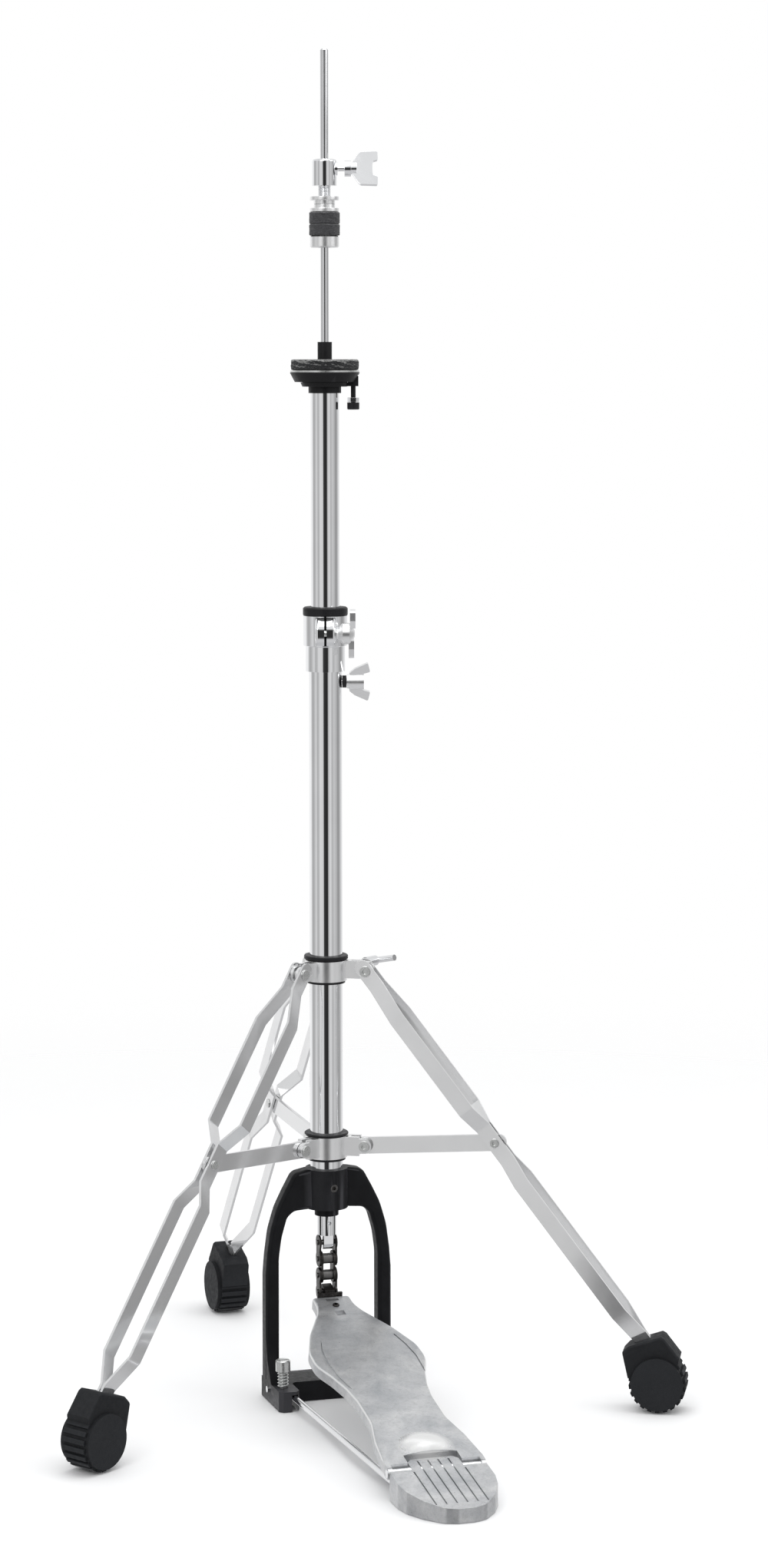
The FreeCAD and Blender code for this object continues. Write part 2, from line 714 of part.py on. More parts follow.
def leg_angle(side):
    return LEG_TURNS[side] + number(D.leg_turn)


def ear(name, reach, level, half, radius, low, high, slit):
    """A collar ear along +X: two plates with a gap, rounded about the pivot."""
    block = box(name + "_block", (14.5, -half, low), (reach - 4, half, high))
    nose = rod(name + "_nose", radius, half * 2, (reach, half, level), (0, -1, 0))
    web = box(name + "_web", (reach - 9, -half, level - radius), (reach, half, level + radius))
    gap = box(name + "_gap", (19.5, -slit, low - 5), (reach + 12, slit, high + 5))
    hole = rod(name + "_hole", D.rivet_radius + D.run_gap, half * 4, (reach, half * 2, level), (0, -1, 0))
    return cut(name, fuse(name + "_solid", [block, nose, web]), fuse(name + "_cuts", [gap, hole]))


def collar_with_ears(name, low, high, reach, level, half, radius, slit, extra):
    """A pressed band round the tube with an ear for each leg."""
    band = ring(name + "_band", D.band_radius - 2.7, D.band_radius, low, high)
    ears = []
    for side in LEG_TURNS:
        item = ear(name + "_ear_" + side, reach, level, half, radius, low + 2, high - 0.1, slit)
        put(item, turn=leg_angle(side))
        ears.append(item)
    return fuse(name, [band] + ears + extra)


def leg_collar():
    """Sliding collar with the leg ears, its bushing, and the T-screw that locks it."""
    low, high = 319.2, 334.8
    turn = 30 + number(D.leg_turn)
    angle = math.radians(turn)
    out = (math.cos(angle), math.sin(angle), 0)
    boss_start, hole_start = 14.5, 10.0
    boss = rod("leg_collar_boss", 5.2, 8, (out[0] * boss_start, out[1] * boss_start, D.t_screw_level), out)
    solid = collar_with_ears("leg_collar_solid", low, high, D.top_pivot_out, D.top_pivot_level,
                             D.ear_half, 6.0, 1.2, [boss])
    entry = (out[0] * hole_start, out[1] * hole_start, D.t_screw_level)
    collar = cut("leg_collar", solid, rod("leg_collar_screw_hole", 3.05, 20, entry, out))
    keep(collar, "leg_collar")
    bush = collar_bushing("leg_collar_bushing_ring", low, high, 335.3, 338.6)
    opening = rod("leg_bushing_hole", 3.05, 20, entry, out)
    keep(cut("leg_collar_bushing", bush, opening), "leg_collar_bushing")
    start = D.lower_radius + 0.3
    shank = rod("t_screw_shank", 3.0, D.t_screw_out - start, (start, 0, 0), (1, 0, 0))
    neck = rod("t_screw_neck", 4.0, 12, (D.t_screw_out - 14, 0, 0), (1, 0, 0))
    half, slope = 18.5, math.radians(12)
    along = (0, -math.cos(slope), math.sin(slope))
    low_end = (D.t_screw_out, half * math.cos(slope), -half * math.sin(slope))
    bar = rod("t_screw_bar", 2.4, half * 2, low_end, along)
    screw = fuse("collar_t_screw", [shank, neck, bar])
    put(screw, (0, 0, D.t_screw_level), turn)
    keep(screw, "collar_t_screw")


def collar_bushing(name, low, high, flange_low, flange_high):
    """Plastic bushing inside a collar, flanged over it and lipped under it."""
    tube = D.lower_radius + 0.08
    wall = D.band_radius - 2.75
    rim = 0.6
    return turned(name, [
        (tube, low - 2), (D.band_radius - 1.4, low - 2), (D.band_radius - 1.4, low - 0.1), (wall, low - 0.1),
        (wall, high + 0.1), (D.flange_radius - 1, high + 0.1), (D.flange_radius - 1, flange_low),
        (D.flange_radius, flange_low + rim), (D.flange_radius, flange_high - rim),
        (D.flange_radius - rim, flange_high), (tube, flange_high),
    ])


def brace_collar():
    low, high = 182.6, 199.2
    collar = collar_with_ears("brace_collar", low, high, D.low_pivot_out, D.low_pivot_level,
                              5.9, 5.6, D.pinch_half, [])
    keep(collar, "brace_collar")
    keep(collar_bushing("brace_collar_bushing", low, high, 199.7, 201.6), "brace_collar_bushing")
    rivets = []
    for side in LEG_TURNS:
        pin = rivet("brace_collar_rivet_" + side, D.rivet_radius, 5.95, 4.2, 1.15)
        put(pin, *facing(leg_angle(side), number(D.low_pivot_out), D.low_pivot_level))
        rivets.append(pin)
    keep(group("brace_collar_rivets", rivets), "brace_collar_rivets")


def rivet(name, radius, half, head, head_height):
    """A rivet along Y with a head at each end, hollow at the near one."""
    shank = rod(name + "_shank", radius, half * 2, (0, half, 0), (0, -1, 0))
    near = rod(name + "_near", head, head_height, (0, -half, 0), (0, -1, 0))
    far = rod(name + "_far", head, head_height, (0, half, 0), (0, 1, 0))
    hollow = rod(name + "_hollow", head * 0.42, 2.4, (0, 1.0 - head_height - half, 0), (0, -1, 0))
    return cut(name, fuse(name + "_solid", [shank, near, far]), hollow)


def leg_placement(side):
    """Leg frame: X runs down the leg from its pivot, Y across, Z up and out."""
    angle = math.radians(leg_angle(side))
    drop = number(D.mid_pivot_level - D.top_pivot_level)
    reach = number(D.mid_pivot_out - D.top_pivot_out)
    length = math.hypot(drop, reach)
    down = FreeCAD.Vector(reach * math.cos(angle), reach * math.sin(angle), drop) / length
    across = FreeCAD.Vector(-math.sin(angle), math.cos(angle), 0)
    up = down.cross(across)
    matrix = FreeCAD.Matrix(down.x, across.x, up.x, 0, down.y, across.y, up.y, 0, down.z, across.z, up.z, 0)
    out = number(D.top_pivot_out)
    spot = FreeCAD.Vector(out * math.cos(angle), out * math.sin(angle), number(D.top_pivot_level))
    return FreeCAD.Placement(spot, FreeCAD.Placement(matrix).Rotation)


def leg_length():
    drop = number(D.mid_pivot_level - D.top_pivot_level)
    reach = number(D.mid_pivot_out - D.top_pivot_out)
    return math.hypot(drop, reach)


def leg_strip(name, across):
    """A flat strip bent apart above the brace and again below it; across is +1 or -1."""
    middle = leg_length()
    spread, lower_spread = D.pinch_half + 13.1, D.pinch_half + 10.1
    tip = D.pinch_half - 1.3
    bends = [
        (-9.0, D.ear_half + 0.3), (15.0, D.ear_half + 0.3), (43.0, spread), (131.0, spread),
        (middle - 14.6, D.pinch_half), (middle + 16.6, D.pinch_half), (middle + 35, lower_spread),
        (320.0, lower_spread), (344.0, tip), (D.strip_end, tip),
    ]
    far = [(along, offset + D.strip_thick) for along, offset in reversed(bends)]
    outline = [(along, offset * across) for along, offset in bends + far]
    body = new_body(name)
    pad(body, polygon_sketch(body, "XY_Plane", outline), D.strip_width, symmetric=True)
    round_edges(body, 5.6, lambda spot, run: spot.x < -8.9 and abs(run.y) > 0.99)
    pocket(body, circle_sketch(body, "XZ_Plane", (0, 0), D.rivet_radius + D.run_gap), 40, symmetric=True)
    pocket(body, circle_sketch(body, "XZ_Plane", (middle, 0), D.mid_rivet + D.run_gap), 40, symmetric=True)
    return body


def leg(side):
    place = leg_placement(side)
    strips = group(side + "_leg_strips", [leg_strip(side + "_strip_a", 1), leg_strip(side + "_strip_b", -1)])
    strips.Placement = place
    keep(strips, side + "_leg_strips")
    top = rivet(side + "_top_rivet", D.rivet_radius, D.ear_half + 2.35, 4.2, 1.1)
    middle = rivet(side + "_mid_rivet", D.mid_rivet, D.pinch_half + 2.05, 3.5, 1.0)
    put(middle, (leg_length(), 0, 0))
    rivets = group(side + "_leg_rivets", [top, middle])
    rivets.Placement = place
    keep(rivets, side + "_leg_rivets")


def brace(side):
    """Flat brace from the lower collar to the leg; its outer hole is a slot inside the pinch."""
    reach = number(D.mid_pivot_out - D.low_pivot_out)
    rise = number(D.mid_pivot_level - D.low_pivot_level)
    length = math.hypot(reach, rise)
    half = D.brace_width / 2
    slot_half, slot_side, tip = 4.2, 2.8, 2.6
    half_thick = D.brace_thick / 2
    across = (0, -1, 0)
    bar = box(side + "_brace_bar", (0, -half_thick, -half), (length + tip, half_thick, half))
    inner = rod(side + "_brace_inner", half, D.brace_thick, (0, half_thick, 0), across)
    outer = rod(side + "_brace_outer", half, D.brace_thick, (length + tip, half_thick, 0), across)
    hole = rod(side + "_brace_hole", D.rivet_radius + D.run_gap, 10, (0, 5, 0), across)
    slot_in = rod(side + "_slot_in", slot_side, 10, (length - slot_half, 5, 0), across)
    slot_out = rod(side + "_slot_out", slot_side, 10, (length + slot_half, 5, 0), across)
    slot = box(side + "_slot_mid", (length - slot_half, -5, -slot_side), (length + slot_half, 5, slot_side))
    solid = fuse(side + "_brace_solid", [bar, inner, outer])
    item = cut(side + "_brace", solid, fuse(side + "_brace_cuts", [hole, slot_in, slot_out, slot]))
    spot, turn = facing(leg_angle(side), number(D.low_pivot_out), D.low_pivot_level)
    put(item, spot, turn)
    tilt = FreeCAD.Rotation(FreeCAD.Vector(0, -1, 0), math.degrees(math.atan2(rise, reach)))
    item.Placement.Rotation = item.Placement.Rotation.multiply(tilt)
    keep(item, side + "_brace")


def foot(side):
    """Rubber foot: a socket for the strips over a round ribbed end."""
    centre = (D.foot_out, D.foot_radius)
    body = new_body(side + "_foot_rubber")
    pad(body, circle_sketch(body, "XZ_Plane", centre, D.foot_radius), D.foot_body, symmetric=True)
    rib_count = 22
    groove = new_sketch(body, "XZ_Plane")
    half_pitch = math.pi / rib_count
    depth, clear, floor_half, mouth_half = 1.8, 2.0, 1.05, 1.8
    profile = [(-depth, -floor_half), (clear, -mouth_half), (clear, mouth_half), (-depth, floor_half)]
    corners = []
    for out, aside in profile:
        reach = number(D.foot_radius) + out
        x = reach * math.sin(half_pitch) + aside * math.cos(half_pitch)
        z = reach * math.cos(half_pitch) - aside * math.sin(half_pitch)
        corners.append((D.foot_out + x, D.foot_radius - z))
    draw_polygon(groove, corners)
    first_groove = pocket(body, groove, D.foot_body + 2, symmetric=True)
    DOC.recompute()
    centre_line = body.newObject("PartDesign::Line", side + "_foot_axis")
    centre_line.Placement = FreeCAD.Placement(
        FreeCAD.Vector(number(D.foot_out), 0, number(D.foot_radius)),
        FreeCAD.Rotation(FreeCAD.Vector(0, 0, 1), FreeCAD.Vector(0, 1, 0)))
    pattern = body.newObject("PartDesign::PolarPattern", side + "_foot_ribs")
    pattern.Originals = [first_groove]
    pattern.Axis = (centre_line, [""])
    pattern.Angle = 360.0
    pattern.Occurrences = rib_count
    body.Tip = pattern
    pad(body, circle_sketch(body, "XZ_Plane", centre, D.foot_radius - 2), D.foot_width, symmetric=True)
    socket = [
        (-22.4, 3.5), (-26.6, 22.6), (-22.2, 27.2), (2.6, 35.6), (5.4, 34.2), (16.8, 20.0),
        (14, 8), (-10, 0),
    ]
    shape = [(D.foot_out + x, D.foot_radius + z) for x, z in socket]
    pad(body, polygon_sketch(body, "XZ_Plane", shape), D.foot_body, symmetric=True)
    round_edges(body, 2.0, lambda spot, run: spot.z > 45 and abs(spot.y) > number(D.foot_body) / 2 - 0.1)
    put(body, turn=leg_angle(side))
    slot = box(side + "_foot_slot", (320, -2.8, -6.2), (D.strip_end + 0.3, 2.8, 6.2))
    slot.Placement = leg_placement(side).multiply(slot.Placement)
    keep(cut(side + "_foot", body, slot), side + "_foot")


# ---------------------------------------------------------------- pedal frame

def pedal_frame():
    """Black casting: hub on the tube, two arms, and the base with its spur blocks."""
    body = new_body("frame_casting")
    outer = [
        (18.0, D.hub_top), (27.8, D.hub_top - 2), (35.5, D.yoke_under + 14), (41.8, D.yoke_under + 1.5),
        (46.9, D.yoke_under - 15.5), (D.arm_outer - 1.2, D.yoke_under - 34),
        (D.arm_outer, D.yoke_under - 49), (D.arm_outer, 0),
    ]
    inner = [
        (D.arm_inner, 0), (D.arm_inner, D.yoke_under - 37), (D.arm_inner - 2.2, D.yoke_under - 21),
        (D.arm_inner - 6.6, D.yoke_under - 6), (27.8, D.yoke_under - 1.4), (D.boss_radius, D.yoke_under),
    ]
    right = outer + inner
    left = [(-x, z) for x, z in reversed(right)]
    pad(body, polygon_sketch(body, "XZ_Plane", right + left), D.arm_depth, symmetric=True)
    round_edges(body, 50.0, lambda spot, run: abs(run.y) > 0.99 and abs(spot.x) > 34 and 90 < spot.z < 160)
    round_edges(body, 8.0, lambda spot, run: abs(run.y) > 0.99 and 26 < abs(spot.x) < 34 and spot.z > 130)
    round_edges(body, 3.2, lambda spot, run: abs(spot.x) > 20 and spot.z > 2 and abs(run.y) < 0.5)
    hub = circle_sketch(body, "XY_Plane", (0, 0), D.hub_radius, D.yoke_under - 0.5)
    pad(body, hub, D.hub_top - D.yoke_under + 0.5)
    boss = circle_sketch(body, "XY_Plane", (0, 0), D.boss_radius, D.boss_base)
    pad(body, boss, D.hub_floor - D.boss_base)
    pad(body, polygon_sketch(body, "XY_Plane", base_plan()), D.base_height)
    for start in (D.arm_inner + 3, -D.arm_outer):
        low = D.base_height - 1
        shoulder = [(-6, low + 33), (-6, low), (-20, low), (-9, low + 17)]
        pad(body, polygon_sketch(body, "YZ_Plane", shoulder, start), D.arm_outer - D.arm_inner - 3)
    seat = circle_sketch(body, "XY_Plane", (0, 0), D.lower_radius + D.run_gap, D.hub_floor)
    pocket(body, seat, 60, reverse=True)
    pocket(body, circle_sketch(body, "XY_Plane", (0, 0), 4.4, D.yoke_under - 20), 30, reverse=True)
    for sign in (1, -1):
        spot = (D.spur_out * sign, -D.spur_front)
        pocket(body, circle_sketch(body, "XY_Plane", spot, 2.6, D.base_height + 1), 30)
    aside = 1.5
    hole = circle_sketch(body, "XZ_Plane", (aside, D.set_screw_level), D.set_screw_radius + D.run_gap)
    pocket(body, hole, 40, reverse=True)
    channels = [tie_channel(side) for side in SIDES]
    keep(cut("pedal_frame", body, fuse("tie_channels", channels)), "pedal_frame")
    start, length = -15.4, 2.4
    screw = rod("set_screw_blank", D.set_screw_radius, length, (aside, start, D.set_screw_level), (0, 1, 0))
    socket = new_body("set_screw_socket")
    pad(socket, polygon_sketch(socket, "XY_Plane", hexagon(1.5)), 1.4)
    put(socket, (aside, start - 0.1, D.set_screw_level), -90, (1, 0, 0))
    keep(cut("frame_set_screw", screw, socket), "frame_set_screw")


def base_plan():
    """The base seen from above: a crossbar with a spur block in front of each arm."""
    front, toe, corner = -D.base_front, -D.toe_front, 3
    right = [
        (D.arm_outer - 7, D.base_back), (D.arm_outer, D.arm_depth / 2), (D.arm_outer, toe + corner),
        (D.arm_outer - corner, toe),
        (D.block_inner + corner, toe), (D.block_inner, toe + corner), (D.block_inner, front - corner),
        (D.block_inner - corner, front),
    ]
    return mirrored(right)


def mirrored(points):
    return points + [(-half, along) for half, along in reversed(points)]


def tie_path(side):
    """A tie rod's corners: in the heel plate, beside the spur, and out through the arm's foot."""
    sign = SIDES[side]
    level, turn_out, turn_in = 9.8, 38.3 * sign, -13.0
    return [
        (29.6 * sign, -286.0, level), (turn_out, -44.0, level), (turn_out, turn_in, level),
        (D.arm_outer * sign + 1.6 * sign, turn_in, level),
    ]


def tie_bar(name, start, end, radius):
    """One straight run of a tie rod, with a ball at its far end."""
    first = FreeCAD.Vector(*[number(value) for value in start])
    run = FreeCAD.Vector(*[number(value) for value in end]) - first
    bar = rod(name, radius, run.Length, start, tuple(run))
    ball = DOC.addObject("Part::Sphere", name + "_ball")
    bind(ball, "Radius", radius + 0.02)
    put(ball, end)
    return [bar, ball]


def tie_rod(side):
    path = tie_path(side)
    pieces = []
    for index in range(len(path) - 1):
        pieces += tie_bar("%s_tie_%d" % (side, index), path[index], path[index + 1], D.tie_radius)
    return fuse(side + "_tie_rod", pieces[:-1])


def tie_channel(side):
    """Room for a tie rod in the frame: a channel open to the floor, then a round hole outwards."""
    sign = SIDES[side]
    turn_out, turn_in, level = tie_path(side)[2]
    half = number(D.tie_radius) + 0.2
    wall = number(D.arm_outer) * sign - 3.0 * sign
    low, high = sorted((turn_out, wall))
    front = -number(D.toe_front) - 3
    back, top = turn_in + half, level + half
    along = box(side + "_channel_along", (turn_out - half, front, -1), (turn_out + half, back, top))
    across = box(side + "_channel_across", (low, turn_in - half, -1), (high, back, top))
    spot = (wall - 2.0 * sign, turn_in, level)
    hole = rod(side + "_channel_hole", D.tie_radius + D.run_gap, 12, spot, (sign, 0, 0))
    return fuse(side + "_tie_channel", [along, across, hole])


def tie_rods():
    keep(group("tie_rods", [tie_rod(side) for side in SIDES]), "tie_rods")


def spur(side):
    """Adjustable spur: slotted head, screw and spring against the base."""
    sign = SIDES[side]
    head_low, head_high = 28.0, 36.5
    body = turned(side + "_spur_turned", [
        (0, 1.6), (1.0, 2.2), (2.5, 5.0), (2.5, head_low), (5.65, head_low), (5.65, head_high - 0.8),
        (4.9, head_high), (0, head_high),
    ])
    slot = box(side + "_spur_slot", (-7, -0.8, head_high - 2.2), (7, 0.8, head_high + 1))
    item = cut(side + "_spur", body, slot)
    spot = (D.spur_out * sign, -D.spur_front, 0)
    put(item, spot)
    keep(item, side + "_spur")
    coil = spring(side + "_spur_spring", 3.7, 0.55, D.base_height + 0.1, head_low - 0.1, 5)
    put(coil, spot)
    keep(coil, side + "_spur_spring")


# ---------------------------------------------------------------- linkage

def rod_guide():
    keep(ring("rod_guide", 4.06, D.lower_bore - 0.1, D.hub_floor + 0.1, D.spring_base - 0.1), "rod_guide")


def return_spring():
    coil = spring("return_spring", D.spring_coil, D.spring_wire, D.spring_base, D.spring_top, 20)
    keep(coil, "return_spring")
    keep(ring("spring_cap", 4.03, 8.6, D.spring_top + 0.1, D.spring_top + 8), "spring_cap")


def chain_connector():
    """Barrel on the lower rod with a tongue for the chain."""
    top = D.boss_base - 0.3
    waist = 122.2
    body = turned("connector_turned", [
        (0, waist), (7.4, waist), (7.4, top), (4.03, top), (4.03, 125.8), (0, 125.8),
    ])
    half, nose = 3.7, 5.4
    tongue = box("connector_tongue", (-half, -nose, D.chain_top), (half, nose, waist + 1))
    end = rod("connector_nose", nose, half * 2, (-half, 0, D.chain_top), (1, 0, 0))
    hole = rod("connector_pin_hole", D.pin_radius + 0.07, 20, (-10, 0, D.chain_top), (1, 0, 0))
    screw_hole = rod("connector_screw_hole", 1.6, 6, (0, -9, 131.9), (0, 1, 0))
    cuts = fuse("connector_cuts", [hole, screw_hole])
    keep(cut("chain_connector", fuse("connector_solid", [body, tongue, end]), cuts), "chain_connector")


def link_plate(name, upper, inside):
    """A chain side plate between two pins, at a distance from the middle."""
    radius = D.plate_radius
    low = upper - D.chain_pitch
    top = rod(name + "_top", radius, D.plate_thick, (inside, 0, upper), (1, 0, 0))
    bottom = rod(name + "_bottom", radius, D.plate_thick, (inside, 0, low), (1, 0, 0))
    waist = box(name + "_waist", (inside, -4.6, low), (inside + D.plate_thick, 4.6, upper))
    fit = D.pin_radius + 0.04
    upper_hole = rod(name + "_upper_hole", fit, 8, (inside - 2, 0, upper), (1, 0, 0))
    lower_hole = rod(name + "_lower_hole", fit, 8, (inside - 2, 0, low), (1, 0, 0))
    solid = fuse(name + "_solid", [top, bottom, waist])
    return cut(name, solid, fuse(name + "_holes", [upper_hole, lower_hole]))


def chain():
    """Three links: outer plates, inner plates, outer plates."""
    inner_gap = D.chain_inner / 2 + 0.1
    outer_gap = inner_gap + D.plate_thick + 0.15
    plates = []
    for index, inside in enumerate((outer_gap, inner_gap, outer_gap)):
        upper = D.chain_top - D.chain_pitch * index
        plates.append(link_plate("link_plate_%d_right" % index, upper, inside))
        plates.append(link_plate("link_plate_%d_left" % index, upper, -inside - D.plate_thick))
    keep(group("chain_plates", plates), "chain_plates")
    pins = []
    for index in range(4):
        level = D.chain_top - D.chain_pitch * index
        pins.append(rod("chain_pin_%d" % index, D.pin_radius, 16.4, (-8.2, 0, level), (1, 0, 0)))
    keep(group("chain_pins", pins), "chain_pins")
    rollers = []
    for index in (1, 2):
        level = D.chain_top - D.chain_pitch * index
        base = (D.chain_inner / -2, 0, level)
        drum = rod("roller_drum_%d" % index, D.chain_roller, D.chain_inner, base, (1, 0, 0))
        bore = rod("roller_bore_%d" % index, D.pin_radius + 0.04, 20, (-10, 0, level), (1, 0, 0))
        rollers.append(cut("chain_roller_%d" % index, drum, bore))
    keep(group("chain_rollers", rollers), "chain_rollers")


# ---------------------------------------------------------------- pedal

def board_placement():
    """Footboard frame: origin on the hinge, Y up the board, Z out of its face."""
    return FreeCAD.Placement(
        FreeCAD.Vector(0, -number(D.hinge_back), number(D.hinge_level)),
        FreeCAD.Rotation(FreeCAD.Vector(1, 0, 0), number(D.board_slope)))


def board_half():
    """The footboard's right half, from the toe to the hinge: (half width, distance)."""
    return [
        (15.0, D.board_length), (15.0, 249.0), (18.5, 237.0), (33.0, 206.0), (42.5, 177.0), (43.0, 155.0),
        (36.0, 136.0), (31.0, 116.0), (28.5, 97.0), (28.5, 65.0), (34.0, 38.0), (36.5, 15.0), (36.5, 4.0),
    ]


def footboard():
    """Cast board: a plate with side walls, open at the toe, whose walls carry the hinge pin."""
    body = new_body("footboard_casting")
    bottom = D.board_top - D.board_depth
    outline = board_half()
    pad(body, polygon_sketch(body, "XY_Plane", mirrored(outline), bottom), D.board_depth)
    round_edges(body, 40.0, lambda spot, run: abs(run.z) > 0.99 and 30 < spot.y < 255)
    round_edges(body, 3.0, lambda spot, run: abs(run.z) > 0.99 and spot.y > 260)
    face = number(D.board_top) - 0.01
    round_edges(body, 1.8, lambda spot, run: abs(run.z) < 0.1 and spot.z > face and spot.y > 15.5)
    hollow = [(half - D.board_skin, along) for half, along in outline[1:-2]]
    hollow = [(11.4, D.board_length + 5)] + hollow + [(32.8, 20.0)]
    pocket(body, polygon_sketch(body, "XY_Plane", mirrored(hollow), D.board_top - D.board_skin), 30)
    cheek_inner, cheek_width, eye = 33.1, 3.3, 4.1
    for start in (cheek_inner, -cheek_inner - cheek_width):
        pad(body, circle_sketch(body, "YZ_Plane", (0, 0), eye, start), cheek_width)
        cheek = [(0, -eye), (8, bottom), (8, D.board_top), (0, D.board_top)]
        pad(body, polygon_sketch(body, "YZ_Plane", cheek, start), cheek_width)
    for groove in board_grooves():
        pocket(body, polygon_sketch(body, "XY_Plane", groove, D.board_top), 1.0)
    slot = [(-5.0, 256.0), (5.0, 256.0), (5.0, 259.2), (-5.0, 259.2)]
    pocket(body, polygon_sketch(body, "XY_Plane", slot), 30, symmetric=True)
    window = [(-3.6, 232), (3.6, 232), (3.6, 239), (-3.6, 239)]
    pocket(body, polygon_sketch(body, "XY_Plane", window), 30, symmetric=True)
    pocket(body, circle_sketch(body, "XY_Plane", (0, 248), 2.65), 30, symmetric=True)
    dome = heel_dome()
    notch_half, notch_end = 20.0, 15.2
    notch = box("board_notch", (-notch_half, -12, -20), (notch_half, notch_end, 20))
    length = 100
    bore = rod("board_bore", D.hinge_radius + D.run_gap, length, (length / -2, 0, 0), (1, 0, 0))
    board = cut("footboard", fuse("board_solid", [body, dome]), fuse("board_cuts", [notch, bore]))
    board.Placement = board_placement()
    keep(board, "footboard")


def board_grooves():
    """Shallow crescents cast in the board's face: a broad one on the left, a thin one on the right."""
    broad = [
        (-28.0, 194.0), (-31.3, 178.0), (-32.6, 160.0), (-31.2, 138.0), (-27.0, 115.5), (-31.4, 127.0),
        (-35.8, 144.0), (-35.2, 162.0), (-32.2, 179.0),
    ]
    thin = [
        (29.4, 194.6), (33.0, 178.0), (35.2, 160.0), (34.4, 134.0), (35.6, 134.0), (36.5, 160.0),
        (34.2, 178.6), (30.4, 195.0),
    ]
    return [broad, thin]


def heel_dome():
    """Low polished swelling in front of the heel plate's tongue, part of a large sphere."""
    radius, swell, middle = 22.0, 2.8, 26.0
    ball_radius = (radius * radius + swell * swell) / (2 * swell)
    ball = DOC.addObject("Part::Sphere", "dome_ball")
    bind(ball, "Radius", ball_radius)
    put(ball, (0, middle, D.board_top + swell - ball_radius))
    low = (-radius - 2, 4, D.board_top - 0.5)
    slab = box("dome_slab", low, (radius + 2, middle + radius + 2, D.board_top + 3))
    dome = DOC.addObject("Part::MultiCommon", "board_dome")
    dome.Shapes = [ball, slab]
    return dome


def toe_bracket():
    """Steel bracket under the toe, with the tongue that takes the last chain pin."""
    ahead, above = pin_in_board()
    top = D.board_top - D.board_skin - 0.1
    toe, half, plate_thick, screw_at = D.board_length, 10, 2.2, 248
    plate = box("bracket_plate", (-half, 242.5, top - plate_thick), (half, toe + 1, top))
    bar = box("bracket_bar", (-half, toe + 0.2, top - plate_thick), (half, toe + 2.4, D.board_top + 2.4))
    tongue = new_body("bracket_tongue")
    nose, corner = 5.2, 2.6
    outline = [
        (toe + 1, top - plate_thick), (toe + 1, above + 4.2), (ahead - 3.6, above + nose),
        (ahead + corner, above + nose), (ahead + nose, above + corner), (ahead + nose, above - corner),
        (ahead + corner, above - nose),
    ]
    pad(tongue, polygon_sketch(tongue, "YZ_Plane", outline), D.chain_inner - 0.4, symmetric=True)
    pin_hole = rod("bracket_pin_hole", D.pin_radius + 0.6, 20, (-10, ahead, above), (1, 0, 0))
    screw_hole = rod("bracket_screw_hole", 2.65, 20, (0, screw_at, -10))
    solid = fuse("bracket_solid", [plate, bar, tongue])
    bracket = cut("toe_bracket", solid, fuse("bracket_cuts", [pin_hole, screw_hole]))
    bracket.Placement = board_placement()
    keep(bracket, "toe_bracket")
    foot, shank = -1.8, 2.6
    screw = turned("toe_screw_turned", [
        (0, foot), (shank, foot), (shank, D.board_top + 0.7), (shank - 0.4, D.board_top + 1.2),
        (0, D.board_top + 1.2),
    ])
    put(screw, (0, screw_at, 0))
    socket = new_body("toe_screw_socket")
    pad(socket, polygon_sketch(socket, "XY_Plane", hexagon(1.5)), 3)
    put(socket, (0, screw_at, D.board_top - 0.6))
    item = cut("toe_bracket_screw", screw, socket)
    item.Placement = board_placement()
    keep(item, "toe_bracket_screw")


def pin_in_board():
    """The last chain pin, in the footboard's frame: along the board and above it."""
    level = number(D.chain_top) - 3 * number(D.chain_pitch)
    back = number(D.hinge_back)
    rise = level - number(D.hinge_level)
    slope = math.radians(number(D.board_slope))
    ahead = back * math.cos(slope) + rise * math.sin(slope)
    above = rise * math.cos(slope) - back * math.sin(slope)
    return ahead, above


HEEL_RISE = 0.163          # slope of the heel plate's top
HEEL_END = -340.0          # a point behind the heel, on the floor plan
HEEL_END_LEVEL = 8.65      # height of the sloping top over that point


def heel_level(along):
    """Height of the heel plate's sloping top."""
    return HEEL_END_LEVEL + (along - HEEL_END) * HEEL_RISE


def heel_plate():
    """Cast heel plate: round end, sloping ribbed top, and a tongue in the footboard's notch."""
    body = new_body("heel_casting")
    edge = D.heel_half
    half = [
        (D.tongue_half - 3.5, -D.tongue_front), (D.tongue_half, -D.tongue_front - 4),
        (D.tongue_half, -D.heel_front), (edge, -D.heel_front), (edge, -289.0), (edge - 2.6, -302.0),
        (edge - 9.6, -316.0), (edge - 20.5, 3.2 - D.heel_back), (6.0, -D.heel_back),
    ]
    pad(body, polygon_sketch(body, "XY_Plane", mirrored(half)), 30)
    round_edges(body, 10.0, lambda spot, run: abs(run.z) > 0.99 and spot.y < -285)
    ahead = -240
    slope = [(ahead, heel_level(ahead)), (HEEL_END, HEEL_END_LEVEL), (HEEL_END, 40), (ahead, 40)]
    pocket(body, polygon_sketch(body, "YZ_Plane", slope), 120, symmetric=True)
    relief = [(-250, -1), (-268, -1), (-268, 6), (-250, 13)]
    pocket(body, polygon_sketch(body, "YZ_Plane", relief), 120, symmetric=True)
    bore = circle_sketch(body, "YZ_Plane", (-D.hinge_back, D.hinge_level), D.hinge_radius + D.run_gap)
    pocket(body, bore, 100, symmetric=True)
    tools = []
    for side in SIDES:
        path = tie_path(side)
        tools += tie_bar(side + "_heel_bore", path[1], path[0], D.tie_radius + D.run_gap)
    tools += heel_grooves()
    keep(cut("heel_plate", body, fuse("heel_cuts", tools)), "heel_plate")


